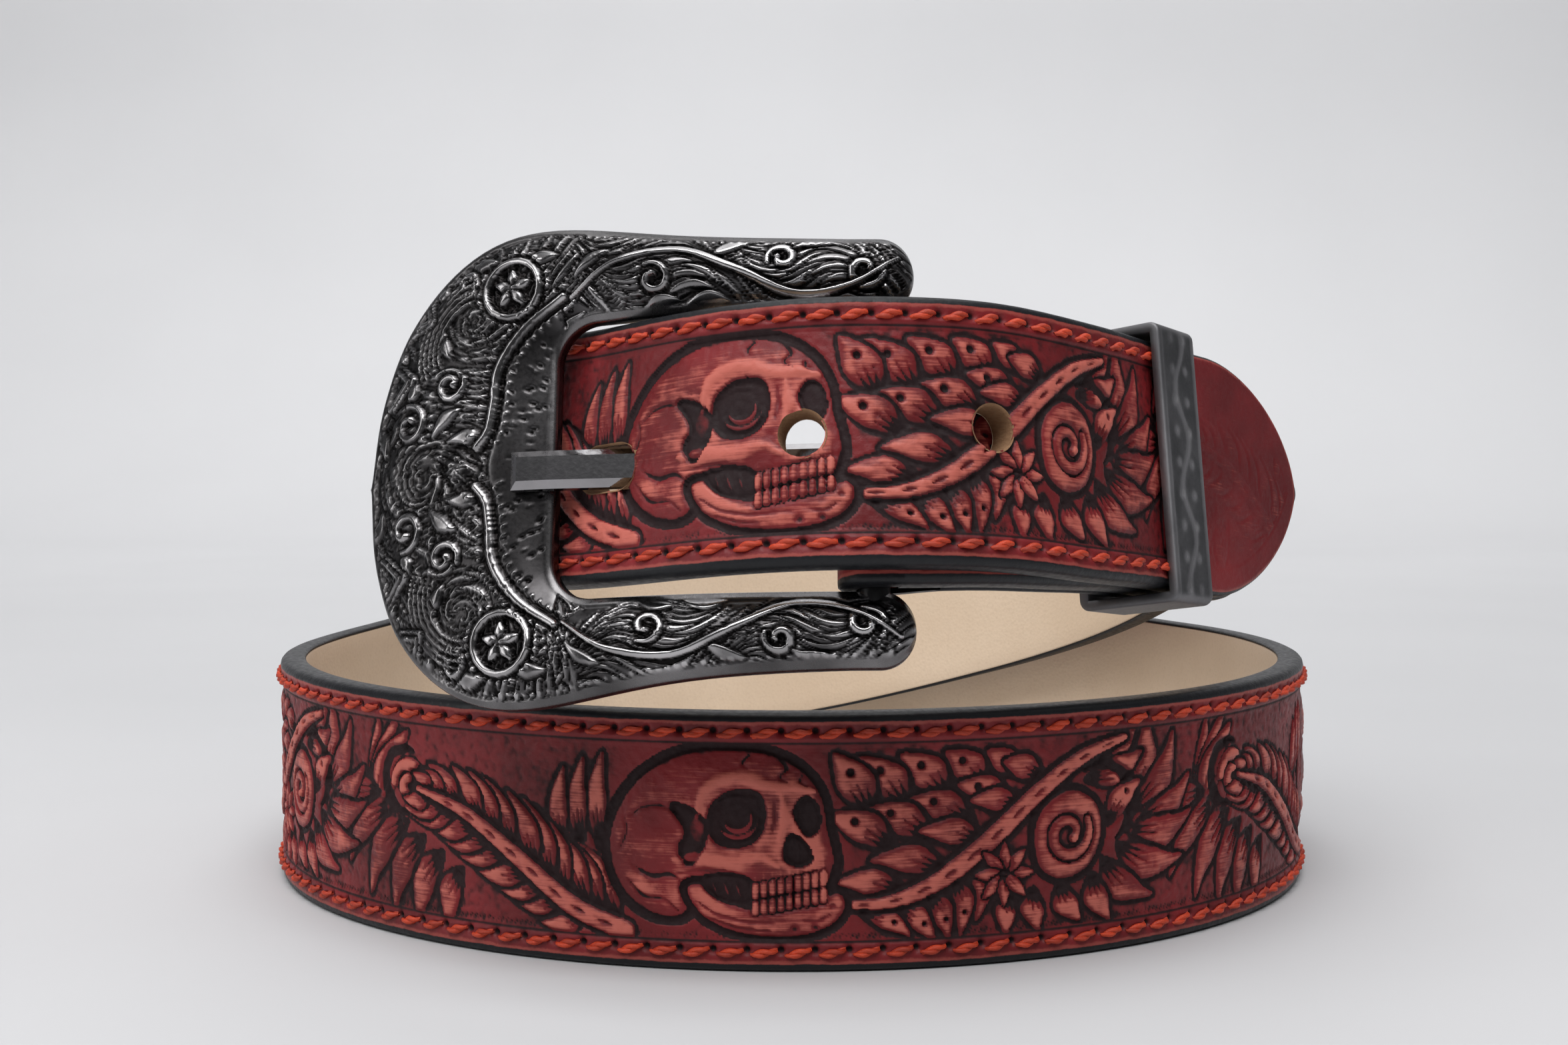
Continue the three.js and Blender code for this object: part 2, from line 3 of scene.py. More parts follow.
import bpy
import numpy as np
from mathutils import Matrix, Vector


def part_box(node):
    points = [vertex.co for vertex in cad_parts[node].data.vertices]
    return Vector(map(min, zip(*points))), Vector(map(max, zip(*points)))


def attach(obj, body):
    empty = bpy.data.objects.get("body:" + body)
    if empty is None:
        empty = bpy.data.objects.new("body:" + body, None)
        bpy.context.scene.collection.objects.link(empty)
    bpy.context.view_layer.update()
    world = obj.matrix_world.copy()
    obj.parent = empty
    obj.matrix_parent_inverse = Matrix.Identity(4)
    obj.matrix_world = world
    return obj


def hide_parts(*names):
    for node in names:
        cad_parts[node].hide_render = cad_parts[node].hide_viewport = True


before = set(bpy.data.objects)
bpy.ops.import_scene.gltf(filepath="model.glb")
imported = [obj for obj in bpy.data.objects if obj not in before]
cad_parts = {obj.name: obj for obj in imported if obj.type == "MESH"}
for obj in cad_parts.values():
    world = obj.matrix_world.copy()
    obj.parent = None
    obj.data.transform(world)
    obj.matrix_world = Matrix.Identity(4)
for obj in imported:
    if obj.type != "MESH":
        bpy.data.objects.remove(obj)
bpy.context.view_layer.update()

# A coiled western belt: tooled leather, pale lining, painted edges, twisted stitches and an antiqued
# buckle. Sizes are in millimetres and degrees until a mesh is made.

MM = 0.001

# The strap, as in the part
STRAP_WIDTH = 38
LEATHER = 3.0
GLUE_GAP = 0.3
LINING = 1.1
LAYER_GAP = 0.5
THICKNESS = LEATHER + GLUE_GAP + LINING
LAYER_PITCH = THICKNESS + LAYER_GAP
LINING_INSET = 0.5
COIL_RADIUS = 92
SMOOTHING = 5
INNER_TURN_END = 44
JOIN_END = 66
TURN = 360
BAR_ANGLE = 6.5
TIP_ANGLE = 783
TAPER_LENGTH = 27
TAPER_POWER = 1.75

# The holes, counted from the tip
HOLE_RADIUS = 3.25
HOLE_PITCH = 27.5
FIRST_HOLE = 86
HOLE_COUNT = 5
PRONG_HOLE = 3
PRONG_HOLE_SHIFT = 5.5
HOLE_ROW_DROP = 1.2
HOLE_ROW_START = 0.4

# The fold round the bar
BAR_RADIUS = 2.2
BAR_CLEARANCE = 0.35
FLAP_THICKNESS = 2.2
FLAP_GAP = 0.6
FLAP_LENGTH = 66
FLAP_DRAW_IN = 12
SLOT_WIDTH = 8.2
SLOT_REACH = 9
INNER_DROP = 1.5
INNER_DROP_START = 8
INNER_DROP_END = 34

# The buckle
FRAME_HEIGHT = 71.4
OPENING_HEIGHT = 40.6
OPENING_CORNER = 6
BAR_TO_CLOSED_END = 45.5
BAR_TO_FRAME_END = 79
BAR_TO_ARM_END = 5.8
ARM_END_ROUND = 5
BEND_RADIUS = 125
FRAME_SWING = 9.7
FRAME_DROP = 0.4
FRAME_ROLL = 2.4
FRAME_ROLL_REACH = 16
FRAME_BACK = -1.0
FRAME_CROWN = 4.6
CLOSED_END_LIFT = 1.6
ARM_DOME = 0.9
FRAME_RIBS = 300
FRAME_COLUMNS = 84

# The prong and the keeper
PRONG_WIDTH = 5.6
PRONG_THICKNESS = 2.6
PRONG_OVERLAP = 5.2
PRONG_EYE_WALL = 1.9
PRONG_BEVEL = 1.05
PRONG_DROP = 1.7
PRONG_CLEARANCE = 0.42
KEEPER_ANGLE = 38.4
KEEPER_WIDTH = 12
KEEPER_METAL = 1.6
KEEPER_CLEARANCE = 0.7
KEEPER_CORNERS = ((1, -1), (1, 1), (-1, 1), (-1, -1))
KEEPER_SIDE_POINTS = (60, 120)
KEEPER_BEVEL = 0.35
KEEPER_COLUMNS = 22

# Stations of the strap's outer face: angle along the coil, radius as a share of the coil radius, height
# of the centre line as a share of the strap width, lean of the upper edge inward
STATIONS = np.array([
    (62, 0.89, 1.86, 6),
    (76, 0.858, 1.82, 3),
    (92, 0.848, 1.765, 0),
    (106, 0.862, 1.66, -2),
    (120, 0.885, 1.5, -4),
    (135, 0.905, 1.32, -4),
    (150, 0.92, 1.15, -3),
    (180, 0.934, 0.86, -2),
    (205, 0.941, 0.72, -1),
    (225, 0.949, 0.63, 0),
    (250, 0.984, 0.52, 0),
    (264, 1.0, 0.5, 0),
    (280, 1.0, 0.5, 0),
    (330, 1.0, 0.5, 0),
    (390, 1.0, 0.5, 0),
    (450, 1.0, 0.5, 0),
    (480, 1.0, 0.5, 0),
    (500, 1.0, 0.54, -1),
    (520, 1.003, 0.7, -2),
    (540, 1.008, 0.91, -4),
    (560, 1.014, 1.3, -4),
    (576, 1.016, 1.56, -3),
    (588, 1.0, 1.7, -2),
    (603, 0.9, 1.8, -1),
    (620, 0.76, 1.85, 0),
    (640, 0.725, 1.88, 2),
    (662, 0.79, 1.91, 6),
    (682, 0.91, 1.94, 11),
    (700.9, 1.05, 1.98, 14),
    (707.3, 1.12, 2.02, 14.5),
    (715.6, 1.185, 2.075, 16.5),
    (723.7, 1.22, 2.1, 17),
    (732.5, 1.207, 2.09, 15.5),
    (737.7, 1.175, 2.065, 13),
    (742.7, 1.132, 2.025, 11),
    (754.7, 1.032, 1.955, 9.5),
    (758.4, 1.005, 1.93, 9),
    (770.9, 0.986, 1.855, 7),
    (783.3, 1.013, 1.78, 5),
    (792, 1.056, 1.73, 4),
])
ANGLE, RADIUS, HEIGHT, LEAN = range(4)

# The frame's outer outline above its middle: share of the way from bar to closed end, share of the
# half height
FRAME_OUTLINE = np.array([
    (0, 0.87),
    (0.18, 0.88),
    (0.34, 0.905),
    (0.48, 0.955),
    (0.56, 0.985),
    (0.63, 1),
    (0.7, 0.985),
    (0.77, 0.93),
    (0.83, 0.845),
    (0.88, 0.745),
    (0.925, 0.61),
    (0.96, 0.445),
    (0.985, 0.25),
    (1, 0),
])

# The frame's front from its inner edge to its outer one, as shares of the crown
FRAME_PROFILE = np.array([(0, 0.45), (0.22, 0.8), (0.5, 1), (0.8, 0.85), (1, 0.45)])


# Curves through stations

def smoothstep(value, low, high):
    t = np.clip((np.asarray(value, float) - low) / (high - low), 0, 1)
    return t * t * (3 - 2 * t)


def unit(vectors):
    return vectors / np.linalg.norm(vectors, axis=-1, keepdims=True)


def distances(line):
    """The distance along a polyline at each of its points."""
    return np.concatenate([[0], np.cumsum(np.linalg.norm(np.diff(line, axis=0), axis=1))])


def station_slopes(places, values):
    gaps = np.diff(places)
    rates = np.diff(values) / gaps
    slopes = np.zeros(len(values))
    for i in range(1, len(values) - 1):
        if rates[i - 1] * rates[i] > 0:
            weighted = gaps[i - 1] / rates[i] + gaps[i] / rates[i - 1]
            slopes[i] = (gaps[i - 1] + gaps[i]) / weighted
    return slopes


def through(places, values, at):
    """Piecewise cubic through the values that never overshoots them."""
    at = np.asarray(at, float)
    slopes = station_slopes(places, values)
    i = np.clip(np.searchsorted(places, at, side="left") - 1, 0, len(places) - 2)
    span = places[i + 1] - places[i]
    t = np.clip((at - places[i]) / span, 0, 1)
    square, cube = t * t, t * t * t
    ends = (2 * cube - 3 * square + 1) * values[i] + (3 * square - 2 * cube) * values[i + 1]
    turns = (cube - 2 * square + t) * span * slopes[i] + (cube - square) * span * slopes[i + 1]
    return ends + turns


def smooth_value(column, angles):
    reach = 2
    total = 0
    weights = 0
    for k in range(-reach, reach + 1):
        weight = reach + 1 - abs(k)
        moved = np.asarray(angles, float) + k * SMOOTHING / reach
        total = total + weight * through(STATIONS[:, ANGLE], STATIONS[:, column], moved)
        weights += weight
    return total / weights


# The strap's path

def coil_point(angles):
    radius = COIL_RADIUS * smooth_value(RADIUS, angles)
    turn = np.radians(angles)
    height = STRAP_WIDTH * smooth_value(HEIGHT, angles)
    place = np.stack([radius * np.sin(turn), -radius * np.cos(turn), height], -1)
    return place, smooth_value(LEAN, angles)


def strap_axes(point_at, angles):
    nudge = 0.05
    place, lean = point_at(angles)
    along = unit(point_at(angles + nudge)[0] - point_at(angles - nudge)[0])
    zero = np.zeros(len(angles))
    outward = unit(np.stack([along[:, 1], -along[:, 0], zero], -1))
    tilt = np.radians(lean)
    up = np.stack([zero, zero, np.cos(tilt)], -1) - outward * np.sin(tilt)[:, None]
    up = unit(up - along * np.sum(up * along, -1, keepdims=True))
    return place, lean, along, up, np.cross(along, up)


def strap_point(angles):
    angles = np.asarray(angles, float)
    place, lean = coil_point(np.maximum(angles, INNER_TURN_END))
    own_lean = coil_point(np.maximum(angles, STATIONS[0, ANGLE]))[1]
    inside = angles < JOIN_END
    outer = strap_axes(coil_point, angles + 2 * TURN)
    share = smoothstep(angles, INNER_TURN_END, JOIN_END)
    hugging = outer[0] - outer[4] * LAYER_PITCH
    mixed = hugging + (place - hugging) * share[:, None]
    mixed_lean = outer[1] + (own_lean - outer[1]) * share
    return np.where(inside[:, None], mixed, place), np.where(inside, mixed_lean, lean)


def rolled(up, along, out, roll):
    """up and along, turned about out by minus roll."""
    cos, sin = np.cos(roll)[:, None], np.sin(roll)[:, None]
    return up * cos - np.cross(out, up) * sin, along * cos - np.cross(out, along) * sin


def strap_sections(angles):
    place, _, along, up, out = strap_axes(strap_point, np.asarray(angles, float))
    fade = 1 - smoothstep(angles, BAR_ANGLE, BAR_ANGLE + FRAME_ROLL_REACH)
    up, along = rolled(up, along, out, np.radians(FRAME_ROLL * fade))
    return place, along, up, out


def dropped(sections, angles):
    """The buckle end of the inner layer hangs a little lower than the layer over it."""
    place, along, up, out = sections
    drop = INNER_DROP * (1 - smoothstep(angles, INNER_DROP_START, INNER_DROP_END))
    return place - up * drop[:, None], along, up, out


class Path:
    """The strap's own coordinates: distance along it from the bar, across it from its middle."""

    def __init__(self, step=0.02):
        self.angles = np.arange(BAR_ANGLE, TIP_ANGLE + step, step)
        sections = dropped(strap_sections(self.angles), self.angles)
        self.place, self.along, self.up, self.out = sections
        self.far = distances(self.place)
        self.length = float(np.interp(TIP_ANGLE, self.angles, self.far))

    def distance(self, angle):
        return float(np.interp(angle, self.angles, self.far))

    def blend(self, rows, far):
        return np.stack([np.interp(far, self.far, rows[:, k]) for k in range(3)], -1)

    def point(self, far, across, height):
        """A point on the strap, height above its tooled face."""
        far, across, height = np.broadcast_arrays(far, across, height)
        place = self.blend(self.place, far)
        up = unit(self.blend(self.up, far))
        out = unit(self.blend(self.out, far))
        return place + up * across[..., None] + out * height[..., None]

    def frame(self, far):
        far = np.asarray(far, float)
        return tuple(self.blend(rows, far) for rows in (self.place, self.along, self.up, self.out))


PATH = Path()
OUTER_REACH = PATH.place[:, 1].max()
SHIFT = np.array([0.0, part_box("strap")[1][1] / MM - OUTER_REACH, 0.0])


def half_width(far):
    """Half the strap's width, rounded off towards the tip."""
    along = np.clip(1 - (PATH.length - np.asarray(far, float)) / TAPER_LENGTH, 0, 1)
    return STRAP_WIDTH / 2 * (1 - along ** TAPER_POWER) ** (1 / TAPER_POWER)


# Relief maps: height fields drawn with strokes, islands and cuts

class Relief:
    """A flat map of heights in millimetres, drawn on the way a carver works on leather."""

    def __init__(self, low, high, pitch, ground, repeat=None):
        self.low, self.pitch, self.repeat = np.array(low, float), pitch, repeat
        columns = int(round((high[0] - low[0]) / pitch))
        rows = int(round((high[1] - low[1]) / pitch)) + 1
        self.x = low[0] + pitch * np.arange(columns)
        self.y = low[1] + pitch * np.arange(rows)
        self.height = np.full((rows, columns), float(ground))

    def windows(self, points, pad):
        """Slices of the map near the points, with the points moved by whole repeats where they wrap."""
        shifts = (0,) if self.repeat is None else (-self.repeat, 0, self.repeat)
        for shift in shifts:
            moved = points + np.array([shift, 0.0])
            low, high = moved.min(0) - pad, moved.max(0) + pad
            first = np.clip(np.floor((low - self.low) / self.pitch).astype(int), 0, None)
            last = np.ceil((high - self.low) / self.pitch).astype(int) + 1
            last = np.minimum(last, [len(self.x), len(self.y)])
            if (last > first).all():
                area = (slice(first[1], last[1]), slice(first[0], last[0]))
                grid = np.meshgrid(self.x[area[1]], self.y[area[0]])
                yield self.height[area], grid[0], grid[1], moved

    def stroke(self, points, widths, top=0.0, fall=0.25, outline=0.3, depth=0.35):
        """A raised rib that swells and tapers, with a dark groove cut beside it."""
        points = np.asarray(points, float)
        for height, x, y, line in self.windows(points, max(widths) + outline):
            away, share = line_distance(x, y, line)
            half = np.interp(share, np.linspace(0, 1, len(widths)), widths) + 1e-6
            groove = away < half + outline
            height[groove] = np.minimum(height[groove], top - fall - depth)
            inside = away < half
            round_off = 1 - np.sqrt(1 - (away[inside] / half[inside]) ** 2)
            height[inside] = top - fall * round_off

    def island(self, outline_points, top=0.0, fall=0.3, bevel=1.2, outline=0.35, depth=0.3, ramp=None):
        """A raised shape with rounded shoulders inside a closed outline; a ramp sinks its root."""
        points = np.asarray(outline_points, float)
        for height, x, y, loop in self.windows(points, outline + self.pitch):
            closed = np.vstack([loop, loop[:1]])
            away, _ = line_distance(x, y, closed)
            within = inside_loop(x, y, closed)
            groove = ~within & (away < outline)
            height[groove] = np.minimum(height[groove], top - fall - depth)
            lift = 1 - np.clip(away[within] / bevel, 0, 1)
            height[within] = top - fall * lift ** 2
            if ramp is not None:
                root, heading, length, drop = ramp
                root = root + loop[0] - points[0]
                share = ((x[within] - root[0]) * heading[0] + (y[within] - root[1]) * heading[1]) / length
                height[within] -= drop * (1 - np.clip(share, 0, 1)) ** 2

    def cut(self, points, widths, depth):
        """A groove cut into whatever is there."""
        points = np.asarray(points, float)
        for height, x, y, line in self.windows(points, max(widths)):
            away, share = line_distance(x, y, line)
            half = np.interp(share, np.linspace(0, 1, len(widths)), widths) + 1e-6
            height -= depth * np.clip(1 - (away / half) ** 2, 0, 1)

    def pit(self, centre, radii, turn=0.0, depth=0.5, edge=0.35):
        """An oval hollow, or an oval bump where depth is negative."""
        centre = np.asarray(centre, float)
        reach = max(radii)
        corners = np.array([centre - reach, centre + reach])
        cos, sin = math.cos(math.radians(turn)), math.sin(math.radians(turn))
        for height, x, y, moved in self.windows(corners, self.pitch):
            middle = moved.mean(0)
            u = ((x - middle[0]) * cos + (y - middle[1]) * sin) / radii[0]
            v = ((y - middle[1]) * cos - (x - middle[0]) * sin) / radii[1]
            height -= depth * smoothstep(1 - np.hypot(u, v), 0, edge)

    def sample(self, field, x, y):
        """Values of a field of the same size, read between its points."""
        u = (np.asarray(x, float) - self.low[0]) / self.pitch
        v = np.clip((np.asarray(y, float) - self.low[1]) / self.pitch, 0, len(self.y) - 1.001)
        if self.repeat is None:
            u = np.clip(u, 0, len(self.x) - 1.001)
        columns = len(self.x)
        i, j = np.floor(u).astype(int), np.floor(v).astype(int)
        s, t = u - i, v - j
        left, right = i % columns, (i + 1) % columns
        low = field[j, left] * (1 - s) + field[j, right] * s
        high = field[j + 1, left] * (1 - s) + field[j + 1, right] * s
        return low * (1 - t) + high * t


def line_distance(x, y, line):
    """Distance from each point to a polyline, and the share of its length where that is nearest."""
    steps = np.linalg.norm(np.diff(line, axis=0), axis=1)
    far = np.concatenate([[0], np.cumsum(steps)])
    best = np.full(x.shape, np.inf)
    share = np.zeros(x.shape)
    for k in range(len(line) - 1):
        a, b = line[k], line[k + 1]
        run = b - a
        size = float(run @ run)
        if size < 1e-12:
            continue
        t = np.clip(((x - a[0]) * run[0] + (y - a[1]) * run[1]) / size, 0, 1)
        away = np.hypot(x - a[0] - t * run[0], y - a[1] - t * run[1])
        nearer = away < best
        best[nearer] = away[nearer]
        share[nearer] = (far[k] + t[nearer] * steps[k]) / far[-1]
    return best, share


def inside_loop(x, y, closed):
    within = np.zeros(x.shape, bool)
    for a, b in zip(closed[:-1], closed[1:]):
        if a[1] == b[1]:
            continue
        crosses = (a[1] > y) != (b[1] > y)
        within ^= crosses & (x < a[0] + (y - a[1]) * (b[0] - a[0]) / (b[1] - a[1]))
    return within


def spline(points, closed=False, steps=7):
    """A smooth curve through points, as a polyline."""
    points = np.asarray(points, float)
    if closed:
        rows = np.vstack([points[-1:], points, points[:2]])
    else:
        rows = np.vstack([2 * points[:1] - points[1:2], points, 2 * points[-1:] - points[-2:-1]])
    t = np.linspace(0, 1, steps, endpoint=False)[:, None]
    curve = []
    for a, b, c, d in zip(rows[:-3], rows[1:-2], rows[2:-1], rows[3:]):
        cubic = -a + 3 * b - 3 * c + d
        curve.append((2 * b + (c - a) * t + (2 * a - 5 * b + 4 * c - d) * t**2 + cubic * t**3) / 2)
    if not closed:
        curve.append(points[-1:])
    return np.vstack(curve)


def blurred(field, radius, wrap):
    """A soft average over a few points each way."""
    for axis in (0, 1):
        mode = "wrap" if wrap and axis == 1 else "edge"
        for _ in range(2):
            pad = [(0, 0), (0, 0)]
            pad[axis] = (radius + 1, radius)
            padded = np.pad(field, pad, mode=mode)
            sums = np.cumsum(padded, axis=axis)
            width = 2 * radius + 1
            after = np.take(sums, range(width, sums.shape[axis]), axis=axis)
            before = np.take(sums, range(0, sums.shape[axis] - width), axis=axis)
            field = (after - before) / width
    return field


def turned(vector, angle):
    cos, sin = math.cos(math.radians(angle)), math.sin(math.radians(angle))
    return np.array([vector[0] * cos - vector[1] * sin, vector[0] * sin + vector[1] * cos])


def petal(base, direction, length, width, bend=0.0):
    """Outline of a leaf or feather lobe that leaves base in a direction."""
    shares = [(0, 0.12), (0.22, 0.68), (0.5, 1), (0.76, 0.66), (1, 0)]
    heading = np.array([math.cos(math.radians(direction)), math.sin(math.radians(direction))])
    side = turned(heading, 90)
    middle = [np.array(base) + heading * length * a + side * bend * length * a ** 3 * 1.6 for a, _ in shares]
    left = [m + side * width * w for m, (_, w) in zip(middle, shares)]
    right = [m - side * width * w for m, (_, w) in zip(middle, shares)]
    return spline(left + right[-2::-1], closed=True, steps=4)


def heading_of(direction):
    return np.array([math.cos(math.radians(direction)), math.sin(math.radians(direction))])


def lobe(relief, base, direction, length, width, bend, eye=0.0, top=0.0):
    """A carved leaf lobe with a few shading cuts and, where asked, an eye near its tip."""
    heading = heading_of(direction)
    relief.island(petal(base, direction, length, width, bend), top=top, fall=0.34, bevel=width * 0.6,
                  outline=0.5, depth=0.32, ramp=(np.array(base, float), heading, length * 0.75, 0.55))
    side = turned(heading, 90)
    for offset in (-0.45, 0.0, 0.45):
        start = np.array(base) + heading * length * 0.1 + side * width * offset * 0.4
        reach = 0.5 - 0.14 * abs(offset)
        end = np.array(base) + heading * length * reach + side * (width * offset + bend * length * reach ** 2)
        relief.cut(np.array([start, end]), [0.42, 0.3, 0.04], 0.42)
    if eye:
        centre = np.array(base) + heading * length * 0.66 + side * bend * length * 0.44
        relief.pit(centre, (eye, eye), depth=0.75, edge=0.5)


def feather(relief, spine, upper, lower, count, widths, sweep=58):
    """A feather: overlapping lobes on both sides of a dashed shaft, longest where the reach says."""
    line = spline(spine)
    for i in range(count):
        share = (i + 0.5) / count
        k = min(int(share * (len(line) - 1)), len(line) - 2)
        heading = unit(line[k + 1] - line[k])
        direction = math.degrees(math.atan2(heading[1], heading[0]))
        for side, reach in ((-1, upper), (1, lower)):
            length = float(np.interp(share, np.linspace(0, 1, len(reach)), reach))
            angle = direction + side * sweep * (1 - 0.3 * share)
            lobe(relief, line[k], angle, length, 1.15 + 0.055 * length, -side * 0.2)
    relief.stroke(line, widths, top=0.06, fall=0.3, outline=0.6, depth=0.45)
    dashes(relief, line)


def dashes(relief, line):
    """A broken dark line along the middle of a stem."""
    steps = np.linalg.norm(np.diff(line, axis=0), axis=1)
    far = np.concatenate([[0], np.cumsum(steps)])
    for at in np.arange(2.0, far[-1] - 3.5, 4.6):
        ends = [[np.interp(at + run, far, line[:, k]) for k in range(2)] for run in (0, 1.1, 2.4)]
        relief.cut(np.array(ends), [0.12, 0.42, 0.1], 0.5)


def ring_points(centre, radius, start=0, end=360, count=20, squash=1.0):
    angles = np.radians(np.linspace(start, end, count))
    return np.stack([centre[0] + radius * np.cos(angles),
                     centre[1] + radius * squash * np.sin(angles)], -1)


def flower(relief, centre, radius, petals=8):
    for k in range(petals):
        relief.island(petal(centre, 360 * k / petals, radius, radius * 0.2), top=0.0, fall=0.3, bevel=0.5,
                      outline=0.35, depth=0.35)
        relief.cut(np.array([centre, np.array(centre) + heading_of(360 * k / petals) * radius * 0.6]),
                   [0.1, 0.16, 0.05], 0.3)
    relief.pit(centre, (0.9, 0.9), depth=0.45)
    relief.pit(centre, (0.5, 0.5), depth=-0.45)


def swirl(relief, centre, radius, start, widths, turns=1.2, top=0.0):
    """A scroll that curls inward to a bead, with a dark hollow inside its turn."""
    steps = np.linspace(0, 1, 34)
    angles = np.radians(start - 360 * turns * steps)
    radii = radius * (1 - 0.72 * steps)
    line = np.stack([centre[0] + radii * np.cos(angles), centre[1] + radii * np.sin(angles)], -1)
    relief.pit(centre, (radius * 0.95, radius * 0.95), depth=0.3, edge=0.3)
    relief.stroke(line, widths, top=top, fall=0.35, outline=0.4)
    relief.pit(line[-1], (radius * 0.2, radius * 0.2), depth=-0.35)


def crescent(relief, centre, radius, start, end, width, depth=0.7):
    """A wide dark cut that follows part of a circle."""
    relief.cut(ring_points(centre, radius, start, end, 24), [0.3, width, width * 1.1, width * 0.7, 0.2],
               depth)


# The tooling: a repeat with a skull, feathers, scrolls and a small flower between two borders

REPEAT_TURNS = 4
LOWER_SKULL = 354.0
UPPER_SKULL = 715.4
REPEAT = (PATH.distance(UPPER_SKULL) - PATH.distance(LOWER_SKULL)) / REPEAT_TURNS
SKULL_AT = PATH.distance(UPPER_SKULL)
FIELD_HALF = 14.4
GROUND = -0.42
TOOL_PITCH = 0.125


def draw_skull(relief):
    draw_cranium(relief)
    draw_sockets(relief)
    draw_jaw(relief)


def draw_cranium(relief):
    cranium = spline([(14.6, 2.2), (13.8, 6.5), (11.2, 10.4), (6.5, 12.9), (0, 13.7), (-7, 12.8), (-13, 9.4),
                      (-16.9, 4.1), (-18, -1.5), (-16.2, -7), (-11.8, -10.6), (-7, -11), (-5, -8.6),
                      (-1, -6.2), (6, -7.2), (13.5, -6.6), (15.6, -3)], closed=True)
    relief.island(cranium, top=0.06, fall=0.55, bevel=4.4, outline=1.25, depth=0.45)
    relief.pit((-5.4, 7.6), (9.5, 6.0), turn=12, depth=-0.2, edge=1.0)
    temple = spline([(-8.4, 5.4), (-5.4, 4.9), (-3.2, 2.6), (-3.6, -0.6), (-5.6, -3.4), (-7.2, -1.2),
                     (-6.2, 1.6)],
                    closed=True)
    relief.island(temple, top=-0.42, fall=0.25, bevel=0.9, outline=0.25, depth=0.0)
    relief.pit((-10.6, -0.6), (4.4, 3.8), turn=30, depth=-0.34, edge=1.0)
    relief.pit((-12.6, -6.4), (3.2, 2.4), turn=-30, depth=-0.26, edge=1.0)
    for points, width in (
        ([(-14.8, 3.4), (-12.6, 4.9), (-9.6, 5.2), (-7.6, 3.9)], 0.4),
        ([(-14.4, -3.6), (-11.4, -5.2), (-8.4, -4.9), (-6.2, -6.6)], 0.6),
        ([(-15.2, -5.6), (-12.6, -8.2), (-9.4, -8.6), (-7.4, -10.2)], 0.42),
        ([(-16.4, -1.6), (-15.2, 1.2), (-15.6, 3.6)], 0.32),
        ([(7.4, 12.6), (8.6, 10.9), (7.6, 9.7), (9.3, 8.6)], 0.28),
        ([(10.9, 9.9), (10.6, 8.9), (11.8, 8.2)], 0.26),
        ([(3.2, 12.9), (2.2, 11.7), (2.9, 10.9)], 0.24),
    ):
        relief.cut(spline(points), [0.08, width, width * 0.8, 0.06], 0.42)
    for k in range(9):
        start = np.array([-16.4 + 0.75 * k, -2.0 - 0.85 * k])
        relief.cut(np.array([start, start + [1.4, 2.3]]), [0.06, 0.16, 0.04], 0.16)
        top = np.array([-2.2 - 0.7 * k, 4.6 + 0.25 * k])
        relief.cut(np.array([top, top + [1.9, 0.9]]), [0.05, 0.14, 0.04], 0.14)


def draw_sockets(relief):
    relief.cut(spline([(-4.6, 3.6), (-3.0, 8.0), (1.6, 9.6), (6.8, 8.2), (9.4, 8.4), (12.8, 7.6)]),
               [0.3, 1.0, 1.3, 1.2, 1.0, 0.3], -0.32)
    relief.cut(spline([(-8, -2.6), (-4.2, -2.4), (0.6, -2.9), (4.6, -2.0), (7.4, -3.4)]),
               [0.4, 1.2, 1.3, 1.1, 0.3], -0.34)
    relief.cut(spline([(-7.4, -4.6), (-4.0, -4.2), (-0.4, -4.0)]), [0.1, 0.5, 0.2], 0.4)
    socket = spline([(-2.6, 2.2), (-2.2, 5.2), (0.8, 7.3), (4.3, 7.0), (5.2, 4.0), (4.2, 1.0), (1.2, -0.4),
                     (-1.6, 0.3)], closed=True)
    relief.island(socket, top=-0.78, fall=0.1, bevel=0.9, outline=0.5, depth=-0.3)
    for radius, start, end in ((3.1, -150, 0), (2.1, -160, 20)):
        relief.cut(ring_points((1.4, 3.6), radius, start, end, squash=0.95), [0.1, 0.5, 0.5, 0.1], -0.5)
    relief.cut(spline([(-1.6, 5.6), (0.4, 6.6), (2.8, 6.4)]), [0.1, 0.4, 0.1], -0.3)
    far_socket = spline([(9.9, 4.4), (11.2, 6.7), (13.0, 5.6), (13.4, 2.6), (11.6, 1.2)], closed=True)
    relief.island(far_socket, top=-0.75, fall=0.2, bevel=0.5, outline=0.25, depth=0.0)
    relief.cut(spline([(7.9, 7.2), (8.3, 3.8), (7.6, 0.6)]), [0.2, 1.0, 0.3], -0.28)
    relief.cut(spline([(6.7, 6.2), (6.9, 3.6), (6.3, 1.4)]), [0.1, 0.35, 0.1], 0.4)
    nose = spline([(9.2, 1.0), (11.0, 0.2), (12.2, -2.2), (10.4, -3.2), (8.4, -2.0)], closed=True)
    relief.island(nose, top=-0.85, fall=0.2, bevel=0.4, outline=0.3, depth=0.0)
    relief.cut(spline([(9.9, 0.4), (10.4, -1.0), (10.2, -2.6)]), [0.1, 0.25, 0.1], -0.35)


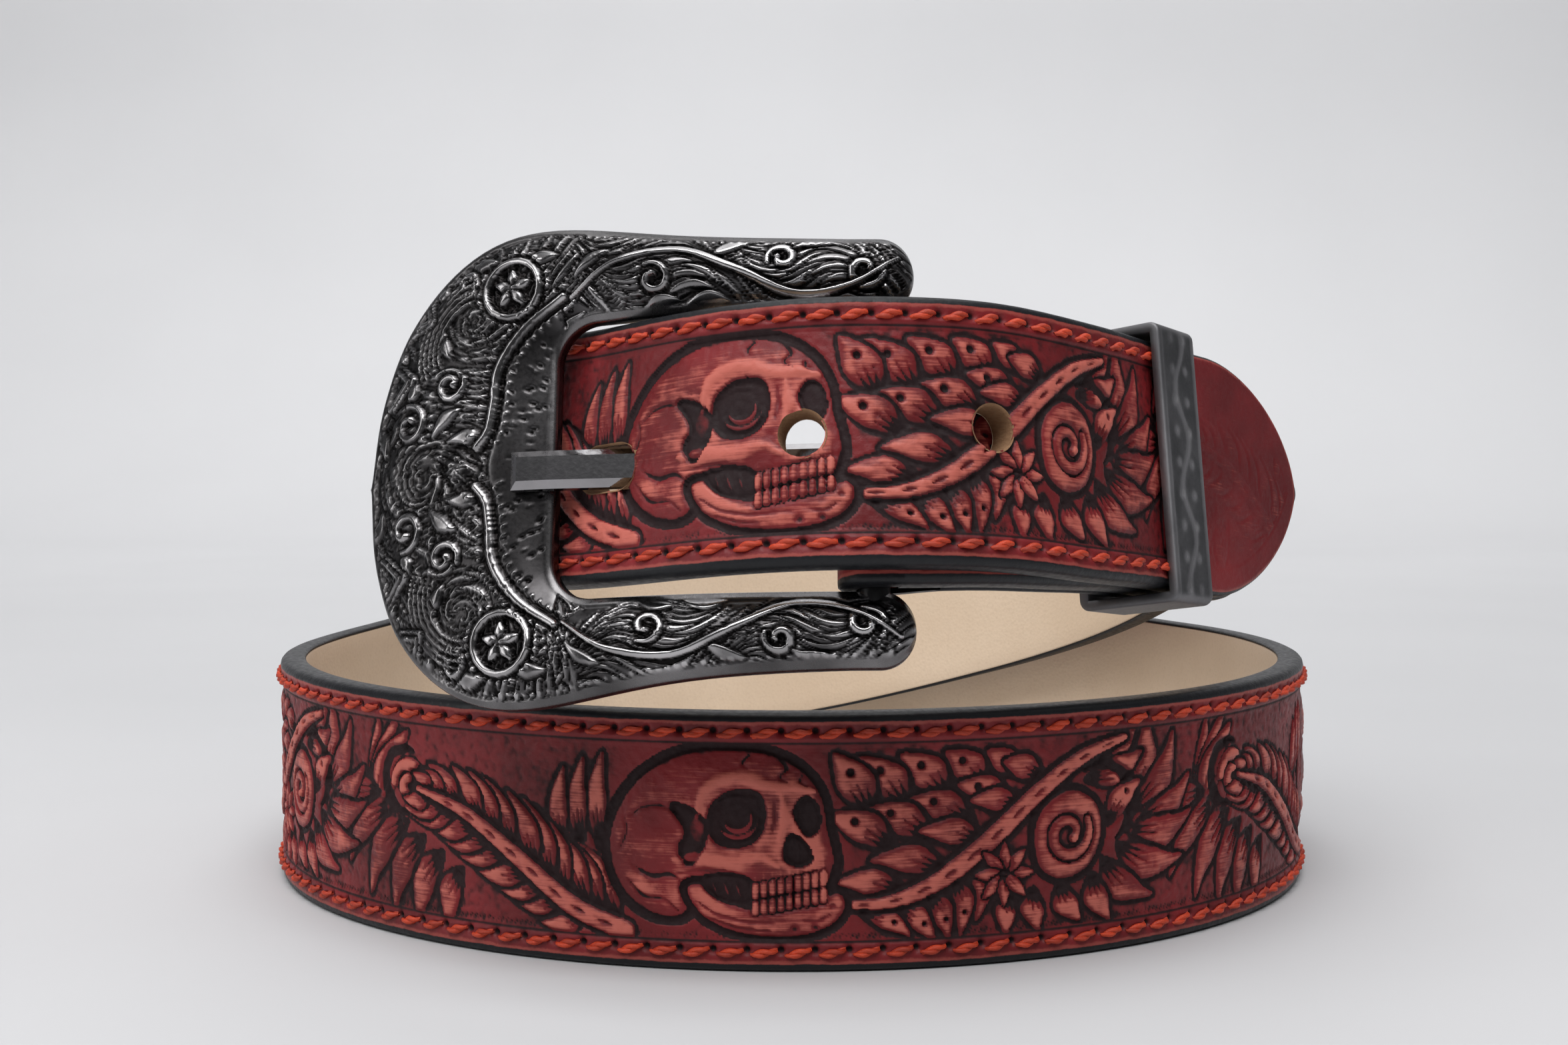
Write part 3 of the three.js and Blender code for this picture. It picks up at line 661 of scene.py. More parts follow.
def draw_jaw(relief):
    hollow = spline([(-4.0, -5.4), (-1.0, -4.7), (2.4, -5.0), (3.8, -6.6), (3.4, -8.6), (0.6, -8.9),
                     (-2.2, -7.8)],
                    closed=True)
    jaw = spline([(-6.2, -6.8), (-3.6, -11.0), (2.2, -13.4), (9.4, -13.8), (14.8, -12.4), (17.2, -9.6),
                  (16.2, -7.4), (12, -8.4), (5, -9.6), (0.6, -9.0), (-2.8, -6.2)], closed=True)
    relief.island(jaw, top=0.04, fall=0.45, bevel=1.9, outline=1.0, depth=0.45)
    relief.island(hollow, top=-0.72, fall=0.25, bevel=0.8, outline=0.2, depth=0.0)
    for lean in (0, 1, 2):
        start = np.array([-2.4 + 1.7 * lean, -5.6])
        relief.cut(np.array([start, start + [1.0, -2.6]]), [0.1, 0.35, 0.1], -0.3)
    for k in range(9):
        x = 4.1 + 1.24 * k
        rise = 0.24 * k
        for low, tall in ((-8.3, 2.3), (-10.6, 2.0)):
            tooth = spline([(x - 0.46, low + rise), (x + 0.46, low + rise + 0.1),
                            (x + 0.5, low + rise + tall),
                            (x - 0.5, low + rise + tall - 0.1)], closed=True, steps=3)
            relief.island(tooth, top=0.2, fall=0.3, bevel=0.45, outline=0.24, depth=0.42)
    for k in range(9):
        base = np.array([4.1 + 1.24 * k, -5.7 + 0.24 * k])
        relief.cut(np.array([base, base + [0.1, 1.3]]), [0.06, 0.24, 0.06], -0.2)
    for points, width in (
        ([(-4.6, -8.6), (-1.4, -10.6), (3.4, -11.6), (8.6, -11.4)], 0.42),
        ([(-2.4, -11.2), (1.6, -12.5), (6.2, -12.8)], 0.34),
        ([(11.0, -11.2), (13.2, -11.4), (15.2, -10.2)], 0.34),
    ):
        relief.cut(spline(points), [0.08, width, width * 0.8, 0.06], 0.4)
    for centre, radius in (((9.8, -12.6), 0.95), ((12.8, -12.3), 0.8), ((15.4, -9.2), 0.7)):
        relief.pit(centre, (radius, radius * 0.8), depth=0.4, edge=0.7)


def draw_left_plume(relief):
    for x, length in ((-19.5, 15.5), (-22.6, 15.0), (-25.8, 13.5)):
        lobe(relief, (x, -1.6 + 0.1 * (x + 20)), 97, length * 0.92, 1.6, -0.1)
    feather(relief, [(-15.5, -13.6), (-24, -10.4), (-33, -4.2), (-43, 1.8), (-53, 4.6)],
            (14.5, 15, 13, 11, 8.5, 4), (4, 7.5, 11, 13, 11, 5), 12, [1.5, 1.5, 1.3, 1.0, 0.4])


# Lobes of the plumes and scrolls: base, direction, length, half width, bend
RIGHT_LOBES = (
    ((44, 9.0), 134, 6.5, 2.0, 0.1), ((38.5, 7.6), 128, 8.2, 2.6, 0.12),
    ((32.5, 6.2), 124, 9.6, 2.9, 0.14),
    ((26.5, 4.8), 120, 10.6, 3.0, 0.16), ((21.0, 4.0), 112, 10.6, 2.9, 0.1),
    ((48, 8.4), 148, 7.2, 2.0, 0.1), ((42.5, 4.8), 146, 9.0, 2.4, 0.14),
    ((36.5, 2.2), 144, 10.6, 2.6, 0.16),
    ((30.5, 0.2), 142, 11.6, 2.7, 0.18), ((24.5, -1.2), 138, 11.0, 2.6, 0.16),
    ((44.5, 4.2), 158, 8.5, 1.9, 0.14), ((38.5, -0.8), 154, 10.5, 2.2, 0.16),
    ((32.5, -4.8), 154, 11.5, 2.3, 0.18), ((26.0, -7.6), 156, 10.0, 2.1, 0.16),
)
LOWER_LOBES = (
    ((37.0, -2.5), -72, 9.5, 1.9, -0.2), ((33.5, -5.4), -64, 8.6, 1.9, -0.22),
    ((29.5, -7.6), -48, 7.6, 1.9, -0.2),
    ((24.5, -9.0), -30, 8.4, 1.8, -0.16), ((19.0, -9.6), -18, 9.0, 1.7, -0.12),
)


def draw_right_plume(relief):
    for base, direction, length, width, bend in RIGHT_LOBES:
        lobe(relief, base, direction, length, width, bend, eye=0.78 if width > 2.3 else 0.0)
    for base, direction, length, width, bend in LOWER_LOBES:
        lobe(relief, base, direction, length, width, bend, eye=0.5)
    stem = spline([(16.8, -9.2), (24, -8.8), (31, -6.2), (39, -0.6), (47, 6.0), (55, 11), (63, 13.4)])
    relief.stroke(stem, [0.5, 1.1, 1.5, 1.5, 1.35, 1.1, 0.5], top=0.1, fall=0.32, outline=0.75, depth=0.45)
    dashes(relief, stem)


SCROLL_LOBES = (
    ((-59, -1), 128, 15, 3.2, -0.3), ((-61, -1), 104, 15.5, 3.2, -0.3), ((-63, -1), 80, 15.5, 3.1, -0.2),
    ((-44, -7), 232, 9.5, 2.4, 0.3), ((-48, -5), 222, 12, 2.8, 0.3), ((-52, -3), 216, 13, 3.0, 0.3),
    ((-56, -1), 208, 14, 3.2, 0.3), ((-60, 1), 196, 14, 3.1, 0.3), ((-63, 3), 182, 12, 2.8, 0.3),
    ((64, 3), 52, 13, 3.1, 0.3), ((65, 2), 28, 13, 3.1, 0.3), ((66, 0), 4, 12, 3.0, 0.3),
    ((64, -1), -18, 13, 3.2, 0.3), ((62, -3), -38, 13, 3.1, 0.3), ((59, -5), -58, 11, 2.8, 0.3),
    ((57, -7), -84, 7.5, 2.4, 0.2),
    ((51, -8), -75, 6.5, 2.2, 0.2), ((46.5, -8.4), -100, 6, 2.1, 0.2), ((43, -9), -120, 5.5, 1.9, 0.2),
    ((58, 10), 20, 9, 1.9, 0.2), ((56, 7.5), 5, 11, 2.2, 0.15), ((47, 2.5), 118, 5, 1.7, 0.2),
)


def draw_scrolls(relief):
    for base, direction, length, width, bend in SCROLL_LOBES:
        lobe(relief, base, direction, length, width, bend)
    paisley = spline([(46.5, 0.6), (48.6, 4.6), (53, 6.2), (57.4, 4), (58.6, -0.6), (56.4, -5.4),
                      (51.6, -7.2), (47.4, -5)], closed=True)
    relief.island(paisley, top=0.05, fall=0.45, bevel=2.0, outline=0.9, depth=0.4)
    swirl(relief, (52.4, -0.4), 4.0, 30, [0.5, 0.9, 0.9, 0.6], top=0.1)
    crescent(relief, (58.5, 3.4), 6.2, -60, 120, 1.5)
    lobe(relief, (60, 0.5), 62, 8.5, 2.1, -0.2, eye=0.6)
    crescent(relief, (-56, 5.5), 5.0, 70, 290, 1.5)
    swirl(relief, (-55.0, 5.0), 3.6, 180, [0.6, 1.1, 1.1, 0.7], top=0.08)


def border_hatching(relief):
    """Slanted nicks that fill the strip of ground beside the lower border."""
    for x in np.arange(relief.x[0], relief.x[-1], 0.85):
        base = np.array([x, -FIELD_HALF + 0.2])
        relief.cut(np.array([base, base + [0.7, 1.0]]), [0.05, 0.2, 0.05], 0.16)


def matting(relief, rng):
    """Fine bumps in the ground, from a coarse grid of noise."""
    for size, strength in ((4, 0.05), (2, 0.04)):
        rows, columns = relief.height.shape
        coarse = rng.normal(size=(rows // size + 2, columns // size + 1))
        fine = np.repeat(np.repeat(coarse, size, 0), size, 1)[:rows, :columns]
        fine = blurred(fine, max(1, size // 2), True)
        relief.height += strength * fine


def tooling():
    relief = Relief((-REPEAT / 2, -FIELD_HALF - 1), (REPEAT / 2, FIELD_HALF + 1), TOOL_PITCH, GROUND, REPEAT)
    border_hatching(relief)
    draw_scrolls(relief)
    draw_left_plume(relief)
    draw_right_plume(relief)
    flower(relief, (41.6, -5.6), 4.9)
    draw_skull(relief)
    matting(relief, np.random.default_rng(7))
    return relief


# Meshes

MATERIALS = {}


def add_piece(name, points, faces, material, nodes=(), attributes=None, smooth=True):
    """A mesh object in the part's frame that rides on its one body."""
    mesh = bpy.data.meshes.new(name)
    mesh.from_pydata(((np.asarray(points) + SHIFT) * MM).tolist(), [], np.asarray(faces).tolist())
    for key, values in (attributes or {}).items():
        layer = mesh.attributes.new(key, "FLOAT", "POINT")
        layer.data.foreach_set("value", np.asarray(values, np.float32).ravel())
    mesh.polygons.foreach_set("use_smooth", [smooth] * len(mesh.polygons))
    mesh.validate()
    mesh.update()
    piece = bpy.data.objects.new(name, mesh)
    bpy.context.scene.collection.objects.link(piece)
    piece.data.materials.append(MATERIALS[material])
    if nodes:
        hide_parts(*nodes)
    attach(piece, "root")
    return piece


def grid_faces(rows, columns, wrap_columns=False, wrap_rows=False):
    """Quads between the points of a grid of rows and columns."""
    i = np.arange(rows if wrap_rows else rows - 1)
    j = np.arange(columns if wrap_columns else columns - 1)
    i, j = (a.ravel() for a in np.meshgrid(i, j, indexing="ij"))
    right, below = (j + 1) % columns, (i + 1) % rows
    return np.stack([i * columns + j, i * columns + right, below * columns + right, below * columns + j], -1)


def facing_out(points, faces):
    """The faces, turned over if they enclose a negative volume."""
    a, b, c, d = (points[faces[:, k]] for k in range(4))
    volume = np.sum(a * np.cross(b, c)) + np.sum(a * np.cross(c, d))
    return faces[:, ::-1] if volume < 0 else faces


def without_loose(points, faces, attributes):
    used = np.unique(faces)
    order = np.full(len(points), -1)
    order[used] = np.arange(len(used))
    return points[used], order[faces], {key: values[used] for key, values in attributes.items()}


# Holes in the strap, each a slot from one distance along to another, with a radius

def hole_row():
    holes = []
    for i in range(HOLE_COUNT):
        shift = PRONG_HOLE_SHIFT if i + 1 >= PRONG_HOLE else 0
        far = PATH.length - FIRST_HOLE - i * HOLE_PITCH - shift
        holes.append((far, -(i - HOLE_ROW_START) * HOLE_ROW_DROP))
    return holes


# Buckle axes and outlines

def buckle_axes():
    place, along, up, out = (rows[0] for rows in strap_sections(np.array([BAR_ANGLE])))
    place = place - out * (LEATHER + BAR_CLEARANCE + BAR_RADIUS)
    swing = math.radians(FRAME_SWING)
    along = along * math.cos(swing) + out * math.sin(swing)
    return place - up * FRAME_DROP, along, up, np.cross(along, up)


BUCKLE = buckle_axes()


def bar_axes():
    place, along, up, out = (rows[0] for rows in strap_sections(np.array([BAR_ANGLE])))
    return place - out * (LEATHER + BAR_CLEARANCE + BAR_RADIUS) - up * INNER_DROP, along, up, out


def buckle_point(along, up, height):
    along, up, height = np.broadcast_arrays(along, up, height)
    place, a, u, o = BUCKLE
    bend = along / BEND_RADIUS
    radius = BEND_RADIUS + height
    return (place + a * (radius * np.sin(bend))[..., None]
            + o * (radius * np.cos(bend) - BEND_RADIUS)[..., None] + u * up[..., None])


def crown_height(across):
    return through(FRAME_PROFILE[:, 0], FRAME_PROFILE[:, 1], across)


def prong_rest(overlap):
    across = overlap / (BAR_TO_FRAME_END - BAR_TO_CLOSED_END)
    bend = -(BAR_TO_CLOSED_END + overlap) / BEND_RADIUS
    share = np.interp(across, FRAME_PROFILE[:, 0], FRAME_PROFILE[:, 1])
    front = FRAME_BACK + CLOSED_END_LIFT + FRAME_CROWN * share
    radius = BEND_RADIUS + front + PRONG_CLEARANCE + PRONG_THICKNESS / 2
    return radius * math.sin(bend), radius * math.cos(bend) - BEND_RADIUS


def prong_line(count=60):
    """Points of the prong's centre line, along and out from the bar."""
    corners = np.array([(-BAR_RADIUS, 0.0), prong_rest(0), prong_rest(PRONG_OVERLAP / 2),
                        prong_rest(PRONG_OVERLAP)])
    far = distances(corners)
    at = np.linspace(0, far[-1], count)
    return np.stack([np.interp(at, far, corners[:, k]) for k in range(2)], -1)


def prong_crossing():
    """Where the prong passes the strap's tooled face and its lining, as distances along the strap."""
    place, a, u, o = BUCKLE
    line = prong_line(400)
    points = place + a * line[:, :1] + o * line[:, 1:] - u * PRONG_DROP
    centre = hole_row()[PRONG_HOLE - 1][0]
    far = np.arange(centre - 22, centre + 22, 0.1)
    origin, along, up, out = PATH.frame(far)
    reach = PRONG_THICKNESS / 2 + PRONG_CLEARANCE
    spans = {"face": [], "lining": []}
    for point in points:
        away = point - origin
        k = int(np.argmin(np.abs(np.sum(away * along, -1))))
        if abs(away[k] @ along[k]) > 0.2 or np.linalg.norm(away[k]) > 25:
            continue
        depth = -(away[k] @ out[k])
        across = away[k] @ up[k]
        if abs(depth) < reach:
            spans["face"].append((far[k], across))
        if abs(depth - THICKNESS) < reach:
            spans["lining"].append((far[k], across))
    return {key: np.array(rows) for key, rows in spans.items()}


def openings():
    """Each hole at the face and at the lining: start, end, across and radius."""
    rows = []
    crossing = prong_crossing()
    for i, (far, across) in enumerate(hole_row()):
        face = lining = (far, far, across, HOLE_RADIUS)
        if i + 1 == PRONG_HOLE and len(crossing["face"]):
            spans = []
            for key in ("face", "lining"):
                reach = crossing[key] if len(crossing[key]) else crossing["face"]
                low, high = reach[:, 0].min(), reach[:, 0].max()
                spans.append((min(low, far), max(high, far), float(reach[:, 1].mean()), HOLE_RADIUS + 0.1))
            face, lining = spans
        rows.append((face, lining))
    return rows


OPENINGS = openings()


def hole_distance(far, across, hole):
    start, end, middle, _ = hole
    axis = np.clip(far, start, end)
    return np.hypot(far - axis, across - middle), axis


def punched(far, across, holes, faces):
    """Drops the faces inside the holes and moves the points left at their rims onto them."""
    keep = np.ones(len(faces), bool)
    far, across = far.copy(), across.copy()
    for hole in holes:
        away, axis = hole_distance(far, across, hole)
        inside = away < hole[3]
        keep &= ~inside[faces].all(1)
        stretch = hole[3] / np.maximum(away[inside], 1e-6)
        far[inside] = axis[inside] + (far[inside] - axis[inside]) * stretch
        across[inside] = hole[2] + (across[inside] - hole[2]) * stretch
    return far, across, keep


# The leather

EDGE_STEPS = np.array([
    (0.62, 3.2), (0.55, 4.1), (0.36, 4.36), (0.14, 4.2), (0.0, 3.7), (-0.04, 2.6), (0.0, 1.3), (0.1, 0.8),
    (0.32, 0.38), (0.7, 0.1), (1.2, 0.0),
])
TIP_FADE = (44, 34)
STITCH_INSET = 2.95
STITCH_PITCH = 5.0
STITCH_START = 14.0
STITCH_GAP = 0.95
STITCH_SINK = 0.12
STITCH_RINGS = 11
STITCH_SIDES = 6
PLY_RADIUS = 0.42
PLY_TWIST = 0.28
PLY_TURNS = 0.8
STITCH_SLANT = 13
FIELD_INSET = STRAP_WIDTH / 2 - FIELD_HALF
# Where the bands meet, as angles along the coil, and their grids: step along, points across
BAND_ANGLES = (262, 458, 688, 640)
LEATHER_START = 3.0
LINING_START = 6.0
COARSE_GRID = (1.2, 44)
LOWER_GRID = (0.31, 122)
BACK_GRID = (0.9, 60)
UPPER_GRID = (0.3, 124)
LINING_GRID = (1.4, 14)
LINING_FINE_GRID = (0.7, 50)

TOOLING = tooling()
# High-pass of the tooling heights: positive on ridges, where it drives a painted highlight, and negative in
# grooves and in wide halos beside raised shapes, where it drives the painted shade
TOOL_CAVITY = (TOOLING.height - blurred(TOOLING.height, 7, True)
               + 1.4 * (blurred(TOOLING.height, 3, True) - blurred(TOOLING.height, 22, True)))


def tip_share(far):
    """Nought on the tooled strap, one on the plain tip behind the keeper."""
    return smoothstep(far, PATH.length - TIP_FADE[0], PATH.length - TIP_FADE[1])


def edge_distance(far, across):
    """How far a point of the face lies in from the strap's outline."""
    slope = (half_width(far + 0.2) - half_width(far - 0.2)) / 0.4
    return (half_width(far) - np.abs(across)) / np.hypot(1, np.clip(slope, -6, 6))


def face_relief(far, across):
    """Height and cavity of the tooled face: carved field, border groove, smooth margin."""
    inset = edge_distance(far, across)
    x = (far - SKULL_AT + REPEAT / 2) % REPEAT - REPEAT / 2
    field = smoothstep(inset, FIELD_INSET - 0.05, FIELD_INSET + 0.35)
    near_tip = tip_share(far)
    border = np.exp(-((inset - FIELD_INSET + 0.2) / 0.32) ** 2) * (1 - 0.8 * near_tip)
    channel = np.exp(-((inset - STITCH_INSET) / 0.75) ** 2) * (1 - near_tip)
    margin = -0.12 * channel + 0.03
    field = field * (1 - 0.8 * near_tip)
    height = field * TOOLING.sample(TOOLING.height, x, across) + (1 - field) * margin - 0.42 * border
    cavity = field * TOOLING.sample(TOOL_CAVITY, x, across) - 0.3 * border
    return height, cavity


def stitch_line():
    """Places and headings of the stitches in both rows, which end under the keeper."""
    far = np.arange(STITCH_START, PATH.length - TIP_FADE[1], STITCH_PITCH)
    across = STRAP_WIDTH / 2 - STITCH_INSET
    places = np.vstack([np.stack([far, np.full(len(far), side * across)], -1) for side in (1, -1)])
    return places, np.tile([1.0, 0.0], (len(places), 1))


STITCHES = stitch_line()


def stitch_holes(far, across, height):
    """Sinks the face at both ends of every stitch."""
    places, headings = STITCHES
    ends = places + headings * STITCH_PITCH / 2 + [0, 0.4]
    rows = np.argsort(ends[:, 0])
    ends = ends[rows]
    for side in (1, -1):
        chosen = ends[np.sign(ends[:, 1]) == side]
        k = np.clip(np.searchsorted(chosen[:, 0], far), 1, len(chosen) - 1)
        for index in (k - 1, k):
            away = np.hypot(far - chosen[index, 0], across - chosen[index, 1])
            height = height - 1.15 * np.exp(-(away / 0.55) ** 2)
    return height


def leather_band(name, start, end, step, columns, tip=False):
    """A stretch of the strap: tooled face, painted edges and a back that the lining covers."""
    if tip:
        count = int((end - TAPER_LENGTH - start) / step)
        body = np.linspace(start, end - TAPER_LENGTH, count, endpoint=False)
        bow = np.sin(np.linspace(0, math.pi / 2, int(1.45 * TAPER_LENGTH / step)))
        rows = np.concatenate([body, end - TAPER_LENGTH * (1 - bow) * 0.9985 - 0.002])
        rows = rows[np.concatenate([[True], np.diff(rows) > 1e-4])]
    else:
        rows = np.linspace(start, end, int((end - start) / step) + 1)
    half = half_width(rows)[:, None]
    fit = np.minimum(1, half / 2.6)
    left = np.stack([-(half - EDGE_STEPS[:, 0] * fit),
                     np.broadcast_to(EDGE_STEPS[:, 1], (len(rows), len(EDGE_STEPS)))])
    right = np.stack([-left[0][:, ::-1], left[1][:, ::-1]])
    inner = np.linspace(-1, 1, columns)[1:-1]
    face_across = inner * (half - EDGE_STEPS[-1, 0] * fit)
    across = np.hstack([left[0], face_across, right[0]])
    depth = np.hstack([left[1], np.zeros_like(face_across), right[1]])
    far = np.broadcast_to(rows[:, None], across.shape)
    width = across.shape[1]
    faces = grid_faces(len(rows), width, wrap_columns=not tip)
    far, across, keep = punched(far.ravel(), across.ravel(), [face for face, _ in OPENINGS], faces)
    depth = depth.ravel()
    height, cavity = face_relief(far, across)
    height = stitch_holes(far, across, height)
    on_face = smoothstep(0.5 - depth, 0, 0.5)
    lift = height * on_face - depth
    points = PATH.point(far, across, lift)
    inset = edge_distance(far, across)
    near_tip = tip_share(far)
    inset = np.where(depth > 0.2, -depth, inset + 0.8 * near_tip)
    values = {"relief": height * on_face, "cavity": cavity * on_face, "inset": inset,
              "far": far, "across": across}
    faces = facing_out(points, faces)[keep]
    points, faces, values = without_loose(points, faces, values)
    add_piece(name, points, faces, "leather", ["strap"], values)


def lining_band(name, start, end, step, columns, tip=False):
    rows = np.linspace(start, end, int((end - start) / step) + 1)
    if tip:
        rows = np.concatenate([rows[rows < end - TAPER_LENGTH],
                               end - TAPER_LENGTH * (1 - np.sin(np.linspace(0, np.pi / 2,
                                                                            40))) * 0.998 - 0.06])
    half = np.maximum(half_width(rows)[:, None] - LINING_INSET, 0.02)
    rim = np.array([(0.0, 3.35), (0.0, 4.1), (0.12, 4.32), (0.4, 4.42)])
    left = [-(half - rim[:, 0] * np.minimum(1, half)), np.broadcast_to(rim[:, 1], (len(rows), len(rim)))]
    across_middle = np.linspace(-1, 1, columns)[1:-1] * (half - 0.4 * np.minimum(1, half))
    across = np.hstack([left[0], across_middle, -left[0][:, ::-1]])
    depth = np.hstack([left[1], np.full_like(across_middle, 4.42), left[1][:, ::-1]])
    far = np.broadcast_to(rows[:, None], across.shape)
    faces = grid_faces(len(rows), across.shape[1], wrap_columns=not tip)
    far, across, keep = punched(far.ravel(), across.ravel(), [back for _, back in OPENINGS], faces)
    depth = depth.ravel()
    points = PATH.point(far, across, -depth)
    inset = half_width(far) - np.abs(across)
    faces = facing_out(points, faces[:, ::-1])[keep]
    points, faces, values = without_loose(points, faces, {"inset": inset, "far": far})
    add_piece(name, points, faces, "lining", ["lining"], values)


def hole_walls():
    """The raw leather inside each hole, from its rim on the face to the lining."""
    points, faces = [], []
    count = 40
    turn = np.linspace(0, 2 * np.pi, count, endpoint=False)
    levels = np.array([(0.3, 0.0), (0.05, 0.12), (0.0, 0.5), (0.0, 1.5), (0.0, 3.2), (0.0, 4.0),
                       (0.08, 4.42)])
    for face, back in OPENINGS:
        base = sum(len(p) for p in points)
        rings = []
        for flare, depth in levels:
            share = depth / levels[-1, 1]
            start, end, across, radius = (a + (b - a) * share for a, b in zip(face, back))
            middle = np.where(np.cos(turn) > 0, end, start)
            rings.append(PATH.point(middle + (radius + flare) * np.cos(turn),
                                    across + (radius + flare) * np.sin(turn), -depth + 0.02 * (depth == 0)))
        points.append(np.vstack(rings))
        faces.append(grid_faces(len(levels), count, wrap_columns=True) + base)
    add_piece("hole_walls", np.vstack(points), np.vstack(faces), "raw_leather",
                     ["strap"], {"depth": np.zeros(sum(len(p) for p in points))})


def stitching():
    """Every stitch is a short twist of two plies that rises from a hole and dives at its far end."""
    places, headings = STITCHES
    rings, sides = STITCH_RINGS, STITCH_SIDES
    share = np.linspace(-0.5, 0.5, rings)
    length = STITCH_PITCH - STITCH_GAP
    arch = 0.62 * np.cos(np.pi * share) ** 0.55 - 0.5
    swell = 0.5 + 0.5 * np.cos(np.pi * share) ** 0.6
    around = np.linspace(0, 2 * np.pi, sides, endpoint=False)
    points = []
    rng = np.random.default_rng(11)
    for place, heading in zip(places, headings):
        rightward = heading if heading[0] > 0 else -heading
        direction = turned(rightward, STITCH_SLANT + rng.normal() * 2.5)
        across = turned(direction, 90)
        phase = rng.uniform(-0.4, 0.4)
        for ply in (0, 1):
            spin = phase + ply * np.pi + 2 * np.pi * PLY_TURNS * share
            offset = PLY_TWIST * np.cos(spin) * swell
            rise = arch + PLY_TWIST * np.sin(spin) * swell + 0.3
            flat = place + (share * length)[:, None] * direction + offset[:, None] * across
            for k in range(rings):
                ring = flat[k] + (PLY_RADIUS * swell[k] * np.cos(around))[:, None] * across
                points.append(np.column_stack([ring, rise[k] + PLY_RADIUS * swell[k] * np.sin(around)]))
    flat = np.vstack(points)
    plies = 2 * len(places)
    one = grid_faces(rings, sides, wrap_columns=True)
    faces = np.vstack([one + k * rings * sides for k in range(plies)])
    solid = PATH.point(flat[:, 0], flat[:, 1], flat[:, 2] - STITCH_SINK)
    shade = np.repeat(rng.normal(size=plies), rings * sides)
    add_piece("stitching", solid, facing_out(solid, faces), "thread", (),
                     {"tone": shade})


def fold():
    """The strap's buckle end: round the bar and back behind the lining as a thinner flap."""
    place, along, up, out = bar_axes()
    half_turn = np.linspace(0, np.pi, 22)
    thickness = FLAP_THICKNESS + (LEATHER - FLAP_THICKNESS) * half_turn / np.pi
    radius = BAR_RADIUS + BAR_CLEARANCE
    flap_far = np.linspace(FLAP_LENGTH, 0.6, 70)
    swell = 1 - smoothstep(flap_far, 0, FLAP_DRAW_IN)
    nominal = THICKNESS + FLAP_GAP + FLAP_THICKNESS
    at_bar = LEATHER + 2 * radius + FLAP_THICKNESS
    flap_place, _, flap_up, flap_out = PATH.frame(flap_far)
    faces_at = nominal + (at_bar - nominal) * swell
    sections = [(p - o * d, u, -o, FLAP_THICKNESS)
                for p, u, o, d in zip(flap_place, flap_up, flap_out, faces_at)]
    for angle, thick in zip(half_turn[:-1], thickness[:-1]):
        facing = -out * math.cos(angle) - along * math.sin(angle)
        sections.append((place + facing * (radius + thick), up, facing, thick))
    start = PATH.frame(np.linspace(0.0, 3.0, 4))
    sections += [(p, u, o, LEATHER) for p, _, u, o in zip(*start)]
    half = STRAP_WIDTH / 2
    rim = np.array([(0.0, 1.0), (0.0, 0.4), (0.12, 0.16), (0.4, 0.02), (0.9, 0.0)])
    columns = np.linspace(-1, 1, 24)[1:-1] * (half - 0.9)
    rows = []
    for origin, u, facing, thick in sections:
        left = np.stack([-(half - rim[:, 0]), rim[:, 1] * thick], -1)
        face = np.stack([columns, np.zeros(len(columns))], -1)
        right = np.stack([-left[::-1, 0], left[::-1, 1]], -1)
        profile = np.vstack([left, face, right])
        rows.append(origin + u * profile[:, :1] - facing * profile[:, 1:])
    width = len(rows[0])
    points = np.vstack(rows)
    across = np.tile(profile[:, 0], len(rows))
    depth = np.tile(profile[:, 1], len(rows))
    zero = np.zeros(len(points))
    values = {"relief": zero, "cavity": zero, "far": zero, "across": across,
              "inset": np.where(depth > 0.2, -depth, half - np.abs(across))}
    faces = grid_faces(len(rows), width, wrap_columns=True)
    faces = facing_out(points, faces)
    slot_rows = np.repeat(np.arange(len(rows) - 1), width)
    centre = points[faces].mean(1)
    away = centre - place
    in_slot = (np.abs(away @ up + PRONG_DROP + FRAME_DROP) < SLOT_WIDTH / 2) & (away @ along < SLOT_REACH)
    faces = faces[~(in_slot & (slot_rows > 40))]
    add_piece("buckle_fold", points, faces, "leather", ["strap"], values)


# Materials

def new_material(name):
    material = bpy.data.materials.new(name)
    material.use_nodes = True
    tree = material.node_tree
    shader = tree.nodes["Principled BSDF"]
    MATERIALS[name] = material
    return tree, shader


def node(tree, kind, inputs=None, **settings):
    made = tree.nodes.new(kind)
    for key, value in settings.items():
        setattr(made, key, value)
    for key, value in (inputs or {}).items():
        if isinstance(value, bpy.types.NodeSocket):
            tree.links.new(value, made.inputs[key])
        else:
            made.inputs[key].default_value = value
    return made


def attribute(tree, name):
    return node(tree, "ShaderNodeAttribute", attribute_name=name).outputs["Fac"]


def noise(tree, scale, detail=3.0, roughness=0.55, stretch=(1, 1, 1), output="Fac"):
    place = node(tree, "ShaderNodeTexCoord").outputs["Object"]
    mapped = node(tree, "ShaderNodeMapping", {"Vector": place, "Scale": stretch}).outputs["Vector"]
    return node(tree, "ShaderNodeTexNoise", {"Vector": mapped, "Scale": scale, "Detail": detail,
                                             "Roughness": roughness}).outputs[output]


def arithmetic(tree, operation, a, b):
    made = node(tree, "ShaderNodeMath", operation=operation)
    for index, value in enumerate((a, b)):
        if isinstance(value, bpy.types.NodeSocket):
            tree.links.new(value, made.inputs[index])
        else:
            made.inputs[index].default_value = value
    return made.outputs[0]


def stretch(tree, value, low, high, to_low=0.0, to_high=1.0):
    made = node(tree, "ShaderNodeMapRange", {"Value": value, "From Min": low, "From Max": high,
                                             "To Min": to_low, "To Max": to_high},
                interpolation_type="SMOOTHSTEP")
    return made.outputs["Result"]


